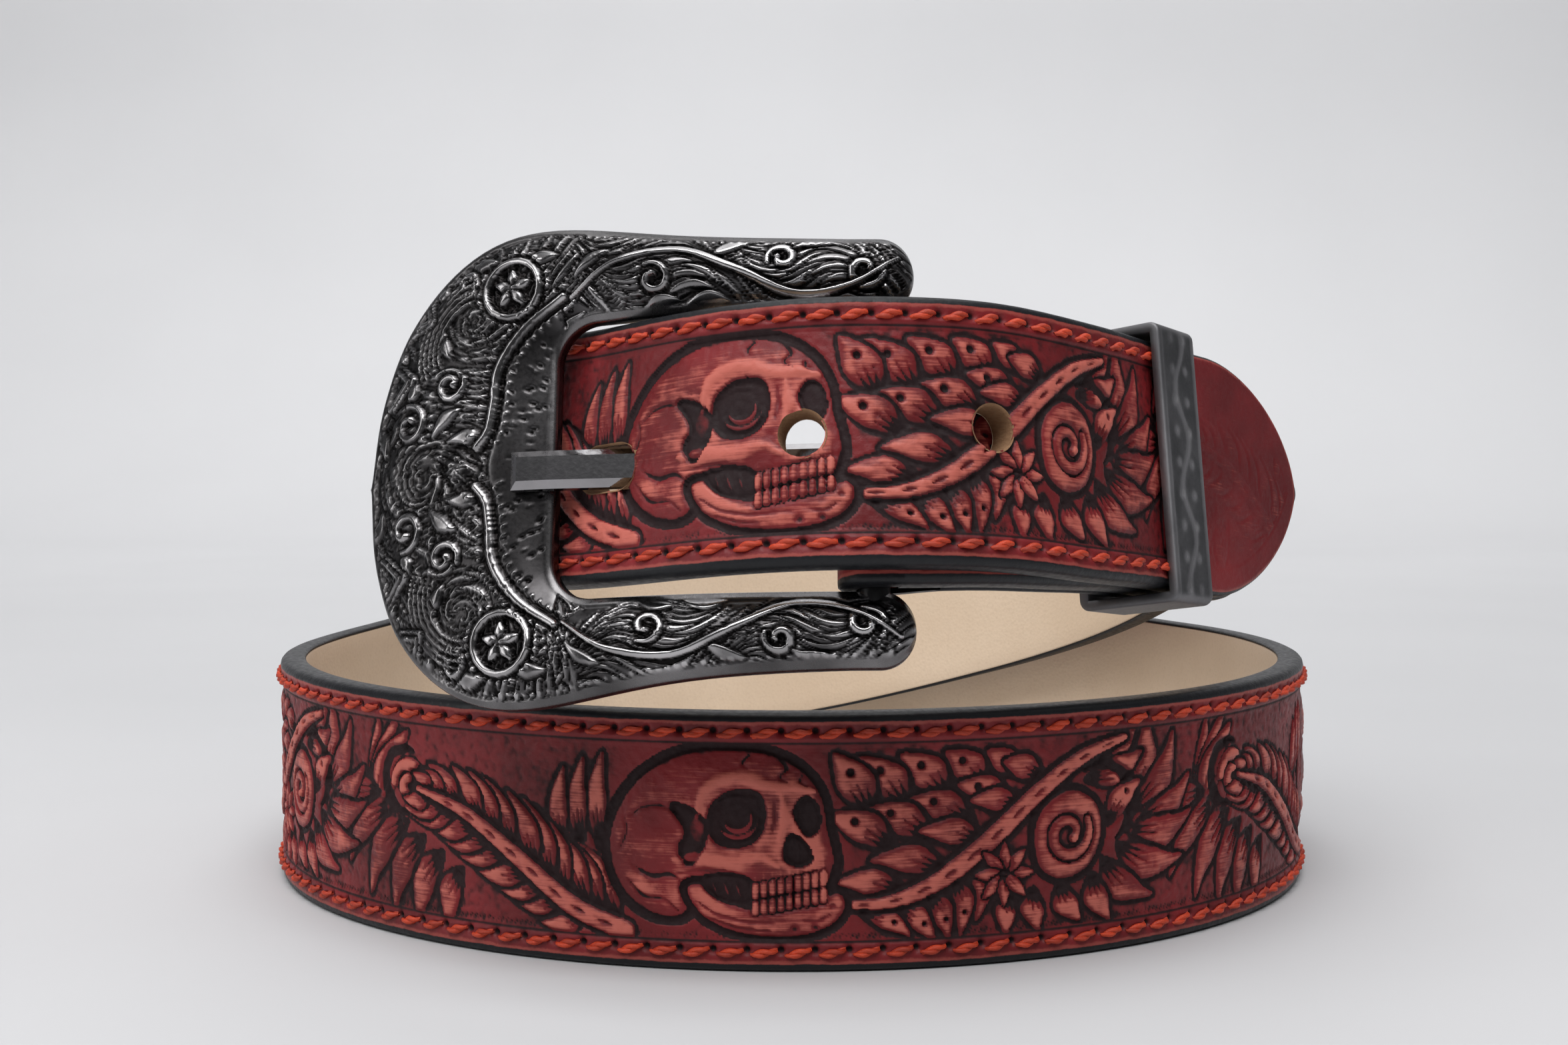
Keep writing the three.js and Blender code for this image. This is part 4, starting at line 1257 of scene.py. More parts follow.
def mix(tree, share, a, b):
    made = node(tree, "ShaderNodeMix", data_type="RGBA")
    for index, value in ((0, share), (6, a), (7, b)):
        if isinstance(value, bpy.types.NodeSocket):
            tree.links.new(value, made.inputs[index])
        elif index == 0:
            made.inputs[index].default_value = value
        else:
            made.inputs[index].default_value = (*value, 1.0)
    return made.outputs[2]


def bump(tree, shader, *layers):
    """Stacks bumps: each layer is a height socket, a strength and a distance in metres."""
    normal = None
    for height, strength, distance in layers:
        made = node(tree, "ShaderNodeBump", {"Height": height, "Strength": strength, "Distance": distance})
        if normal is not None:
            tree.links.new(normal, made.inputs["Normal"])
        normal = made.outputs["Normal"]
    tree.links.new(normal, shader.inputs["Normal"])


BASE_DARK = (0.120, 0.008, 0.010)
BASE_RED = (0.215, 0.016, 0.019)
SALMON = (0.57, 0.145, 0.108)
SHADOW = (0.010, 0.005, 0.006)
EDGE_PAINT = (0.0075, 0.008, 0.010)


def around_zero(tree, value, amount):
    """A noise value between 0 and 1, moved to swing by an amount either way."""
    return arithmetic(tree, "MULTIPLY", arithmetic(tree, "SUBTRACT", value, 0.5), amount)


def along_strap(tree, scale_along, scale_across, scale, detail=4.0, roughness=0.6):
    """Noise drawn out along the strap, as a dry brush leaves it."""
    far = arithmetic(tree, "MULTIPLY", attribute(tree, "far"), scale_along)
    across = arithmetic(tree, "MULTIPLY", attribute(tree, "across"), scale_across)
    place = node(tree, "ShaderNodeCombineXYZ", {"X": far, "Y": across}).outputs["Vector"]
    return node(tree, "ShaderNodeTexNoise", {"Vector": place, "Scale": scale, "Detail": detail,
                                             "Roughness": roughness}).outputs["Fac"]


def leather_material():
    tree, shader = new_material("leather")
    relief, cavity = attribute(tree, "relief"), attribute(tree, "cavity")
    inset = attribute(tree, "inset")
    cloud = noise(tree, 55, 4)
    grain = noise(tree, 1100, 3, 0.6)
    fine = noise(tree, 3000, 2, 0.6)
    rub = noise(tree, 320, 5, 0.7)
    brush = along_strap(tree, 0.09, 1.9, 1.6)
    base = mix(tree, stretch(tree, cloud, 0.35, 0.68), BASE_DARK, BASE_RED)
    streak = arithmetic(tree, "ADD", around_zero(tree, brush, 1.15), around_zero(tree, rub, 0.5))
    streak = arithmetic(tree, "ADD", streak, around_zero(tree, noise(tree, 120, 3), 0.9))
    # Salmon on the convex ridges of the raised tooling: partly the rubbed, dry-brushed finish and partly a
    # painted highlight
    rub_and_highlight = stretch(tree, arithmetic(tree, "ADD", cavity, streak), 0.12, 0.74)
    raised = stretch(tree, relief, -0.34, -0.1)
    in_field = stretch(tree, inset, FIELD_INSET, FIELD_INSET + 0.8)
    salmon_rub_and_highlight = arithmetic(tree, "MULTIPLY", arithmetic(tree, "MULTIPLY", rub_and_highlight, raised), in_field)
    tone = mix(tree, arithmetic(tree, "MULTIPLY", salmon_rub_and_highlight, 0.9), base, SALMON)
    low = arithmetic(tree, "ADD", relief, arithmetic(tree, "MULTIPLY", cavity, 1.5))
    low = arithmetic(tree, "ADD", low, around_zero(tree, rub, 0.4))
    dark = stretch(tree, low, -0.34, -0.82)
    tone = mix(tree, arithmetic(tree, "MULTIPLY", dark, 0.96), tone, SHADOW)
    rubbed_edge = stretch(tree, arithmetic(tree, "ADD", inset, around_zero(tree, rub, 1.2)), 1.9, 1.5)
    tone = mix(tree, arithmetic(tree, "MULTIPLY", rubbed_edge, 0.35), tone, SALMON)
    paint = stretch(tree, arithmetic(tree, "ADD", inset, around_zero(tree, rub, 0.5)), 1.35, 1.15)
    tone = mix(tree, paint, tone, EDGE_PAINT)
    tree.links.new(tone, shader.inputs["Base Color"])
    rough = arithmetic(tree, "ADD", stretch(tree, grain, 0.3, 0.7, 0.42, 0.56),
                       arithmetic(tree, "MULTIPLY", paint, -0.06))
    rough = arithmetic(tree, "ADD", rough, arithmetic(tree, "MULTIPLY", dark, 0.22))
    tree.links.new(rough, shader.inputs["Roughness"])
    shader.inputs["Specular IOR Level"].default_value = 0.3
    bump(tree, shader, (grain, 0.35, 0.0002), (brush, 0.12, 0.0002), (fine, 0.25, 0.00008))


def raw_leather_material():
    tree, shader = new_material("raw_leather")
    fibre = noise(tree, 900, 4, 0.7, (1, 1, 3))
    tone = mix(tree, fibre, (0.16, 0.075, 0.032), (0.36, 0.21, 0.11))
    tree.links.new(tone, shader.inputs["Base Color"])
    shader.inputs["Roughness"].default_value = 0.9
    bump(tree, shader, (fibre, 0.6, 0.0003))


def lining_material():
    tree, shader = new_material("lining")
    cloud = noise(tree, 22, 4)
    pores = node(tree, "ShaderNodeTexVoronoi", {"Vector": node(tree, "ShaderNodeTexCoord").outputs["Object"],
                                                "Scale": 1500}).outputs["Distance"]
    fine = noise(tree, 1800, 3, 0.6)
    tone = mix(tree, stretch(tree, cloud, 0.3, 0.7), (0.73, 0.575, 0.42), (0.81, 0.655, 0.495))
    tone = mix(tree, stretch(tree, fine, 0.45, 0.75, 0, 0.25), tone, (0.60, 0.45, 0.31))
    paint = stretch(tree, attribute(tree, "inset"), 0.6, 0.52)
    tone = mix(tree, paint, tone, EDGE_PAINT)
    tree.links.new(tone, shader.inputs["Base Color"])
    shader.inputs["Roughness"].default_value = 0.62
    bump(tree, shader, (pores, 0.25, 0.00015), (fine, 0.2, 0.0001))


def thread_material():
    tree, shader = new_material("thread")
    fibre = noise(tree, 2400, 3, 0.6, (1, 1, 2.5))
    tone = mix(tree, fibre, (0.36, 0.022, 0.007), (0.85, 0.085, 0.018))
    tone = mix(tree, stretch(tree, attribute(tree, "tone"), -2.5, 2.5, 0, 0.6), tone, (0.16, 0.010, 0.005))
    tree.links.new(tone, shader.inputs["Base Color"])
    shader.inputs["Roughness"].default_value = 0.55
    bump(tree, shader, (fibre, 0.5, 0.0002))


def metal_material(name, tones, rough_low, rough_high, shares=None):
    """A polished casting with dark hollows; tones run from the hollows over the flats to the ridges."""
    tree, shader = new_material(name)
    cloud = noise(tree, 150, 4)
    fine = noise(tree, 1500, 3, 0.6)
    if shares:
        high = arithmetic(tree, "ADD", attribute(tree, "cavity"), around_zero(tree, cloud, 0.12))
        low, flat, ridge = shares
        tone = mix(tree, stretch(tree, high, low, flat), tones[0], tones[1])
        bright = stretch(tree, high, flat, ridge)
        tone = mix(tree, bright, tone, tones[2])
        patch = stretch(tree, noise(tree, 45, 2), 0.38, 0.62, 0.0, 0.55)
        tone = mix(tree, patch, tone, tones[0])
    else:
        bright = stretch(tree, cloud, 0.3, 0.7)
        tone = mix(tree, bright, tones[0], tones[1])
    tree.links.new(tone, shader.inputs["Base Color"])
    shader.inputs["Metallic"].default_value = 1.0
    rough = arithmetic(tree, "ADD", stretch(tree, bright, 0, 1, rough_high, rough_low),
                       stretch(tree, fine, 0.3, 0.7, -0.03, 0.05))
    tree.links.new(rough, shader.inputs["Roughness"])
    bump(tree, shader, (fine, 0.2, 0.00006))


def floor_material():
    tree, shader = new_material("floor")
    cloud = noise(tree, 3, 3)
    tone = mix(tree, stretch(tree, cloud, 0.3, 0.7), (0.56, 0.56, 0.57), (0.59, 0.59, 0.60))
    tree.links.new(tone, shader.inputs["Base Color"])
    shader.inputs["Roughness"].default_value = 0.75


# The buckle frame

ARM_WIDTH = (FRAME_OUTLINE[0, 1] * FRAME_HEIGHT - OPENING_HEIGHT) / 2


def outer_outline(count):
    """The upper half's outer outline from the arm's end to the middle of the closed end."""
    half = FRAME_HEIGHT / 2
    middle = FRAME_OUTLINE[0, 1] * half - ARM_WIDTH / 2
    angles = np.radians(np.linspace(4, 90, 12))
    arc = np.stack([ARM_END_ROUND * np.cos(angles) + BAR_TO_ARM_END - ARM_END_ROUND,
                    middle + ARM_WIDTH / 2 * np.sin(angles)], -1)
    share = np.concatenate([np.linspace(0.02, 0.7, 30), np.linspace(0.72, 1, 60)])
    along = np.sin(share * np.pi / 2) ** 0.9
    rest = np.stack([-along * BAR_TO_FRAME_END,
                     through(FRAME_OUTLINE[:, 0], FRAME_OUTLINE[:, 1], along) * half], -1)
    lower = rest[::-1][1:] * [1, -1]
    rows = np.vstack([arc, rest, lower, (arc * [1, -1])[::-1]])
    for _ in range(6):
        rows[13:-13] = (rows[12:-14] + 2 * rows[13:-13] + rows[14:-12]) / 4
    far = distances(rows)
    at = np.linspace(0, far[-1] / 2, count)
    return np.stack([np.interp(at, far, rows[:, k]) for k in range(2)], -1)


def inner_outline(outer):
    """The inner point that each outer point pairs with: along the arm, round the corner, down the side."""
    side, top = -BAR_TO_CLOSED_END, OPENING_HEIGHT / 2
    corner = side + OPENING_CORNER
    far = distances(outer)
    first = int(np.argmax(outer[:, 0] <= corner))
    share = np.clip((far - far[first]) / (far[-1] - far[first]), 0, 1)
    arc = math.pi / 2 * OPENING_CORNER
    travelled = share * (arc + top - OPENING_CORNER)
    angle = np.minimum(travelled, arc) / OPENING_CORNER
    round_corner = np.stack([corner - OPENING_CORNER * np.sin(angle),
                             top - OPENING_CORNER + OPENING_CORNER * np.cos(angle)
                             - np.maximum(travelled - arc, 0)], -1)
    over = np.clip((outer[:, 0] - BAR_TO_ARM_END + ARM_END_ROUND) / ARM_END_ROUND, 0, 1)
    arm = np.stack([outer[:, 0], top + ARM_WIDTH / 2 * (1 - np.sqrt(1 - over * over))], -1)
    return np.where((np.arange(len(outer)) < first)[:, None], arm, round_corner)


def bead_row(relief, line, pitch, radius, height):
    far = distances(line)
    for at in np.arange(pitch / 2, far[-1], pitch):
        centre = [np.interp(at, far, line[:, k]) for k in range(2)]
        relief.pit(centre, (radius, radius), depth=-height, edge=0.9)


def concho(relief, centre, radius):
    """A round boss: beaded rim, smooth ring and a five-petal star."""
    relief.pit(centre, (radius * 1.25, radius * 1.25), depth=0.35, edge=0.2)
    relief.stroke(ring_points(centre, radius), [0.55, 0.55], top=0.35, fall=0.4, outline=0.3)
    bead_row(relief, ring_points(centre, radius * 1.28, count=40), 1.15, 0.5, 0.4)
    for k in range(5):
        relief.island(petal(centre, 90 + 72 * k, radius * 0.72, radius * 0.2), top=0.25, fall=0.35,
                      bevel=0.5, outline=0.2)
    relief.pit(centre, (radius * 0.2, radius * 0.2), depth=-0.4, edge=0.9)


def fan(relief, centre, start, end, radius, count, step):
    """Curved lines side by side, as a graver cuts them."""
    for k in range(count):
        arc = ring_points(centre, radius + k * step, start, end, 14)
        relief.stroke(arc, [0.15, step * 0.42, step * 0.4, 0.1], top=0.1, fall=0.25, outline=0.12)


def chevron(relief, centre, size, angle):
    left, right = turned(np.array([size, size * 0.75]), angle), turned(np.array([size, -size * 0.75]), angle)
    for inset in (0, 1.3):
        shift = turned(np.array([inset, 0]), angle)
        line = np.array([centre + left + shift, centre + shift, centre + right + shift])
        relief.stroke(line, [0.5, 0.55, 0.5], top=0.35 - inset * 0.1, fall=0.4, outline=0.25)


def engraved(relief, rng, area, direction_at, spacing, length, width):
    """Rows of short curved ribs that follow a flow, so that no ground stays bare."""
    low_x, high_x, low_y, high_y = area
    for x in np.arange(low_x, high_x, spacing * 1.6):
        for y in np.arange(low_y, high_y, spacing):
            point = np.array([x, y]) + rng.uniform(-0.5, 0.5, 2) * spacing
            path = [point]
            for _ in range(5):
                path.append(path[-1] + heading_of(direction_at(*path[-1])) * length / 5)
            size = width * rng.uniform(0.75, 1.25)
            relief.stroke(spline(path, steps=3), [0.08, size, size * 0.9, 0.06], top=rng.uniform(-0.24, 0.04),
                          fall=0.22, outline=0.14)


def arm_flow(x, y):
    side = 1 if y > 0 else -1
    return 180 + side * (42 * math.sin(0.30 * x + 0.16 * abs(y)) - 10)


def end_flow(x, y):
    """Turns round three centres, one in the middle of the closed end and one at each shoulder."""
    total = np.zeros(2)
    for centre, spin in (((-66.0, 0.0), 1), ((-58.0, 22.0), -1), ((-58.0, -22.0), 1)):
        away = np.array([x, y]) - centre
        total += spin * turned(away, 90 + 25 * spin) / (away @ away + 9)
    return math.degrees(math.atan2(total[1], total[0]))


# Leaves on the buckle's arms and closed end: along and across, direction, length
ARM_LEAVES = (
    (-5, 4.0, 170, 6), (-9.5, -4.2, 196, 6), (-20, -4.0, 165, 6), (-37, 4.4, 196, 6),
    (2.5, 3.2, 130, 4.5), (-17, 4.2, 188, 6.5), (-27, -3.6, 176, 6), (-2, -4.0, 186, 5),
)
END_LEAVES = (
    (-59, 13, 150, 7), (-64, 26, 120, 6), (-72.5, 16.5, 95, 6), (-62, 17, 120, 6),
    (-55, 31, 175, 6), (-56, 4, 160, 6), (-45, 30.5, 178, 6), (-66, 5, 140, 6),
    (-70, 11, 60, 5), (-60, 9, 200, 6), (-63, 21, 200, 5), (-75, 4, 100, 6),
)


def arm_scrolls(relief, side):
    """An S-shaped stem with curls and leaves along an arm, mirrored for the other one."""
    middle = side * (OPENING_HEIGHT / 2 + ARM_WIDTH / 2)

    def at(points):
        return spline([(x, middle + side * y) for x, y in points])

    for x, y, size, start in ((-1.2, -0.4, 2.9, 40), (-30.5, -0.6, 2.5, 120), (-12.5, 1.6, 2.2, 200)):
        swirl(relief, (x, middle + side * y), size, start * side, [0.25, 0.5, 0.55, 0.4], turns=1.1 * side,
              top=0.16)
    for x, y, direction, length in ARM_LEAVES:
        leaf = petal((x, middle + side * y), direction * side, length, 0.95, 0.2 * side)
        relief.island(leaf, top=0.22, fall=0.32, bevel=0.6, outline=0.22)
    stem = at([(3.5, 1.5), (-3, -2.4), (-11, -3.4), (-19, 0.2), (-27, 3.6), (-36, 2.4), (-43, -2)])
    relief.stroke(stem, [0.25, 0.5, 0.55, 0.55, 0.5, 0.25], top=0.3, fall=0.35, outline=0.3)


def closed_end_scrolls(relief, side):
    for x, y, direction, length in END_LEAVES:
        leaf = petal((x, side * y), direction * side, length, 1.25, 0.2 * side)
        relief.island(leaf, top=0.26, fall=0.36, bevel=0.8, outline=0.28)
    swirl(relief, (-69.5, side * 8.0), 3.2, 100 * side, [0.3, 0.6, 0.6, 0.4], turns=1.1 * side, top=0.2)
    swirl(relief, (-60.5, side * 28.5), 2.8, 200 * side, [0.3, 0.55, 0.55, 0.4], turns=-1.1 * side, top=0.2)
    swirl(relief, (-62.0, side * 13.0), 2.6, 20 * side, [0.3, 0.55, 0.55, 0.4], turns=1.1 * side, top=0.2)
    fan(relief, (-57.5, side * 18.5), 95 * side, 205 * side, 7.0, 5, 0.95)
    concho(relief, np.array([-52.0, side * 26.2]), 4.4)
    chevron(relief, np.array([-69.0, side * 15.0]), 4.6, 180)
    chevron(relief, np.array([-66.0, side * 23.5]), 4.2, 180 - side * 28)
    inner = spline([(-44, side * 24.0), (-49.8, side * 20.0), (-53.8, side * 14.5), (-54.6, side * 9),
                    (-55.4, side * 5.2), (-57.2, side * 2.8)])
    relief.stroke(inner, [0.6, 0.75, 0.75, 0.6], top=0.42, fall=0.45, outline=0.4)
    bead_row(relief, inner + np.array([-2.0, side * 0.4]), 1.2, 0.5, 0.42)
    bead_row(relief, inner + np.array([2.0, -side * 0.6]), 1.5, 0.45, 0.3)


def smooth_slope(relief, rng):
    """The plain slope beside the opening, with a few punched dots."""
    loop = [(-BAR_TO_CLOSED_END + 1, 22.5), (-48.8, 19.8), (-52.6, 14.5), (-53.4, 9), (-54.2, 4.6),
            (-55.4, 0)]
    outline = np.vstack([loop, (np.array(loop) * [1, -1])[::-1][1:]])
    relief.island(spline(outline, closed=True), top=0.0, fall=0.1, bevel=0.8, outline=0.3)
    for _ in range(46):
        relief.pit((rng.uniform(-52.6, -47), rng.uniform(-19, 19)), (0.5, 0.5), depth=0.3, edge=0.8)


def buckle_relief(outer):
    reach = FRAME_HEIGHT / 2
    relief = Relief((-BAR_TO_FRAME_END - 2, -reach - 2), (BAR_TO_ARM_END + 2, reach + 2), 0.13, -0.42)
    rng = np.random.default_rng(3)
    for side in (1, -1):
        low = OPENING_HEIGHT / 2 if side > 0 else -reach
        area = (-BAR_TO_CLOSED_END, BAR_TO_ARM_END + 3, low, low + ARM_WIDTH + 4)
        engraved(relief, rng, area, arm_flow, 1.5, 8.5, 0.5)
    area = (-BAR_TO_FRAME_END, -BAR_TO_CLOSED_END + 4, -reach, reach)
    engraved(relief, rng, area, end_flow, 1.8, 6.5, 0.52)
    smooth_slope(relief, rng)
    for side in (1, -1):
        arm_scrolls(relief, side)
        closed_end_scrolls(relief, side)
    relief.pit((-60.0, 0), (4.0, 4.0), depth=0.45, edge=0.25)
    relief.pit((-60.0, 0), (3.0, 3.0), depth=-1.0, edge=1.0)
    rim = np.vstack([outer, (outer * [1, -1])[::-1][1:]])
    bead_row(relief, spline(rim[::6] * [0.966, 0.95] + [-1.1, 0], steps=3), 1.25, 0.5, 0.36)
    for _ in range(500):
        x, y = rng.uniform(-77, 3), rng.uniform(-34, 34)
        relief.pit((x, y), (0.42, 0.42), depth=0.14 * rng.choice([1, -1]), edge=0.9)
    return relief


def buckle_frame():
    ribs, columns = FRAME_RIBS, FRAME_COLUMNS
    outer = outer_outline(ribs)
    inner = inner_outline(outer)
    relief = buckle_relief(outer)
    cavity = relief.height - blurred(relief.height, 6, False)
    upper = np.arange(ribs)
    order = np.concatenate([upper, upper[::-1][1:]])
    side = np.concatenate([np.ones(ribs), -np.ones(ribs - 1)])
    lift = CLOSED_END_LIFT * smoothstep(-outer[:, 0], 0, BAR_TO_CLOSED_END)
    slim = np.minimum(1, np.linalg.norm(outer - inner, axis=1) / ARM_WIDTH)
    across = np.linspace(0, 1, columns)
    crown = crown_height(across)
    edge = np.minimum(across, 1 - across)[None, :] * np.linalg.norm(outer - inner, axis=1)[:, None]
    rounding = np.sqrt(np.clip(1 - (1 - np.clip(edge / 1.1, 0, 1)) ** 2, 0, 1))
    flat = inner[:, None, :] + (outer - inner)[:, None, :] * across[None, :, None]
    base = crown[None, :] * FRAME_CROWN * slim[:, None]
    front = FRAME_BACK + base * (0.72 + 0.28 * rounding)
    wall = np.array([0.0, 0.35, 0.7])
    rows, carved, hollows = [], [], []
    for k, sign in zip(order, side):
        x, y = flat[k, :, 0], flat[k, :, 1] * sign
        mask = smoothstep(edge[k], 0.9, 1.7)
        height = mask * relief.sample(relief.height, x, y) + (1 - mask) * 0.1
        hollow = mask * relief.sample(cavity, x, y) + (1 - mask) * 0.12
        dome = ARM_DOME * (1 - (2 * across - 1) ** 2) * smoothstep(x, -44, -34)
        top = lift[k] + front[k] + (height + dome) * slim[k]
        low = lift[k] + FRAME_BACK
        inner_wall = [(x[0], y[0], low + (top[0] - low) * w) for w in wall]
        outer_wall = [(x[-1], y[-1], low + (top[-1] - low) * w) for w in wall[::-1]]
        back = [(x[0] + (x[-1] - x[0]) * w, y[0] + (y[-1] - y[0]) * w, low) for w in (0.75, 0.5, 0.25)]
        rows.append(np.vstack([inner_wall, np.column_stack([x, y, top]), outer_wall, back]))
        carved.append(np.concatenate([[-0.2] * 3, height, [-0.2] * 6]))
        hollows.append(np.concatenate([[0.0] * 3, hollow, [0.0] * 6]))
    width = len(rows[0])
    flat_points = np.vstack(rows)
    points = buckle_point(flat_points[:, 0], flat_points[:, 1], flat_points[:, 2])
    faces = facing_out(points, grid_faces(len(rows), width, wrap_columns=True))
    add_piece("buckle_frame_cast", points, faces, "gunmetal", ["buckle_frame"],
              {"relief": np.concatenate(carved), "cavity": np.concatenate(hollows)})


def buckle_bar():
    turn = np.linspace(0, 2 * np.pi, 28, endpoint=False)
    reach = OPENING_HEIGHT / 2 + 2.5
    levels = np.linspace(-reach, reach, 30)
    place, a, u, o = BUCKLE
    ring = (a * np.cos(turn)[:, None] + o * np.sin(turn)[:, None]) * BAR_RADIUS
    points = np.vstack([place + u * level + ring for level in levels])
    faces = facing_out(points, grid_faces(len(levels), len(turn), wrap_columns=True))
    add_piece("buckle_bar", points, faces, "smooth_metal", (), {})


def prong():
    """The prong: a flat bar with wide bevels along its front and round its tip, and an eye at the bar."""
    line = prong_line(90)
    far = distances(line)
    left = far[-1] - far
    bevel, half, thick = PRONG_BEVEL, PRONG_WIDTH / 2, PRONG_THICKNESS / 2
    near = np.minimum(left, bevel)
    slope = unit(np.gradient(line, axis=0))
    place, a, u, o = BUCKLE
    rows = []
    for k in range(len(line)):
        top, edge = thick - bevel + near[k], half - near[k]
        profile = np.array([(-half + 0.3, -thick), (half - 0.3, -thick), (half, 0.3 - thick),
                            (half, thick - bevel),
                            (edge, top), (-edge, top), (-half, thick - bevel), (-half, 0.3 - thick)])
        normal = np.array([-slope[k, 1], slope[k, 0]])
        normal = normal if normal[1] > 0 else -normal
        flat_along = line[k, 0] + normal[0] * profile[:, 1]
        flat_out = line[k, 1] + normal[1] * profile[:, 1]
        rows.append(place + a * flat_along[:, None] + o * flat_out[:, None]
                    + u * (profile[:, 0] - PRONG_DROP)[:, None])
    points = np.vstack(rows)
    width = len(rows[0])
    faces = facing_out(points, grid_faces(len(rows), width, wrap_columns=True))
    last = (len(rows) - 1) * width
    end = np.array([(last, last + 3, last + 6, last + 7), (last, last + 1, last + 2, last + 3)])
    add_piece("prong_tongue", points, np.vstack([faces, end]), "bright_metal", ["prong"],
                      {}, smooth=False)
    bore = BAR_RADIUS + PRONG_CLEARANCE
    profile = np.array([(bore, 0.2 - half), (bore + 0.3, -half), (bore + PRONG_EYE_WALL - 0.5, -half),
                        (bore + PRONG_EYE_WALL, 0.5 - half), (bore + PRONG_EYE_WALL, half - 0.5),
                        (bore + PRONG_EYE_WALL - 0.5, half), (bore + 0.3, half), (bore, half - 0.2)])
    rings = [place - u * PRONG_DROP + (a * math.cos(t) + o * math.sin(t)) * profile[:, :1] + u * profile[:,
                                                                                                         1:]
             for t in np.linspace(0, 2 * np.pi, 48, endpoint=False)]
    points = np.vstack(rings)
    faces = facing_out(points, grid_faces(len(rings), len(profile), wrap_columns=True, wrap_rows=True))
    add_piece("prong_eye", points, faces, "bright_metal", (), {})


def keeper_outline(size, corner):
    """Points and outward directions round the loop: each rounded corner, then the side after it."""
    straight = size - corner
    loop, normals = [], []
    for k, signs in enumerate(KEEPER_CORNERS):
        start = math.radians(-90 + 90 * k)
        for t in np.linspace(0, math.pi / 2, 7):
            direction = np.array([math.cos(start + t), math.sin(start + t)])
            loop.append(np.array(signs) * straight + direction * corner)
            normals.append(direction)
        first = loop[-1]
        last = np.array(KEEPER_CORNERS[(k + 1) % 4]) * straight + direction * corner
        for share in np.linspace(0, 1, KEEPER_SIDE_POINTS[k % 2])[1:-1]:
            loop.append(first + (last - first) * share)
            normals.append(direction)
    return np.array(loop), np.array(normals)


def keeper():
    """A closed metal loop with softened edges and a lightly engraved front."""
    place, along, up, out = (rows[0] for rows in strap_sections(np.array([KEEPER_ANGLE])))
    deep = THICKNESS + LAYER_PITCH + FLAP_GAP + FLAP_THICKNESS
    size = np.array([STRAP_WIDTH + 2 * KEEPER_CLEARANCE, deep + 2 * KEEPER_CLEARANCE]) / 2 + KEEPER_METAL
    corner = KEEPER_METAL
    loop, normals = keeper_outline(size, corner)
    half = KEEPER_WIDTH / 2
    bevel = KEEPER_BEVEL
    widths = np.concatenate([[-half, -half + bevel * 0.3, -half + bevel],
                             np.linspace(-half + 1, half - 1, KEEPER_COLUMNS),
                             [half - bevel, half - bevel * 0.3, half]])
    drops = np.concatenate([[-bevel, -bevel * 0.3, 0], np.zeros(KEEPER_COLUMNS), [0, -bevel * 0.3, -bevel]])
    basis = (up, out, along)
    shift = LAYER_PITCH - deep / 2
    rows, relief_values = [], []
    for (x, y), (nx, ny) in zip(loop, normals):
        front = smoothstep(ny, 0.9, 1.0)
        carve = front * keeper_carving(x, widths)
        outer = [(x + nx * (d + c), y + ny * (d + c), w) for w, d, c in zip(widths, drops, carve)]
        inner = [(x - nx * (KEEPER_METAL - b), y - ny * (KEEPER_METAL - b), w)
                 for w, b in ((half, 0.2), (half - 0.3, 0.0), (0, 0.0), (0.3 - half, 0.0), (-half, 0.2))]
        rows.append(np.array(outer + inner))
        relief_values.append(np.concatenate([carve, np.zeros(5)]))
    flat = np.vstack(rows)
    points = place + flat[:, :1] * basis[0] + (flat[:, 1:2] + shift) * basis[1] + flat[:, 2:] * basis[2]
    faces = facing_out(points, grid_faces(len(rows), len(rows[0]), wrap_columns=True, wrap_rows=True))
    values = np.concatenate(relief_values)
    add_piece("keeper_loop", points, faces, "keeper_metal", ["keeper"],
                     {"relief": values, "cavity": values})


def keeper_carving(x, widths):
    """A faint wavy stem on the front plate."""
    wave = 1.6 * math.sin(x * 0.42)
    stem = np.exp(-((widths - wave) / 0.7) ** 2)
    fade = smoothstep(KEEPER_WIDTH / 2 - np.abs(widths), 0.8, 1.6)
    bumps = np.exp(-(((x + 2.4) % 4.8 - 2.4) ** 2 + (np.abs(widths) - 2.1) ** 2) / 0.5)
    return fade * (0.1 * stem + 0.12 * bumps - 0.07)


# The scene

def floor():
    size, back, rise = 14.0, 0.9, 0.35
    ys = np.concatenate([[-size], back + rise * np.sin(np.linspace(0, np.pi / 2, 16)), [back + rise]])
    zs = np.concatenate([[0], rise * (1 - np.cos(np.linspace(0, np.pi / 2, 16))), [size]])
    points = [(x, y, z) for y, z in zip(ys, zs) for x in (-size, size)]
    mesh = bpy.data.meshes.new("floor")
    mesh.from_pydata(points, [], grid_faces(len(ys), 2).tolist())
    mesh.polygons.foreach_set("use_smooth", [True] * len(mesh.polygons))
    stage = bpy.data.objects.new("floor", mesh)
    bpy.context.scene.collection.objects.link(stage)
    mesh.materials.append(MATERIALS["floor"])


def area_light(name, place, aim, size, power, spread=180):
    data = bpy.data.lights.new(name, "AREA")
    data.shape = "RECTANGLE"
    data.size, data.size_y = size
    data.energy = power
    data.spread = math.radians(spread)
    light = bpy.data.objects.new(name, data)
    light.location = place
    light.rotation_euler = (Vector(aim) - Vector(place)).to_track_quat("-Z", "Y").to_euler()
    bpy.context.scene.collection.objects.link(light)


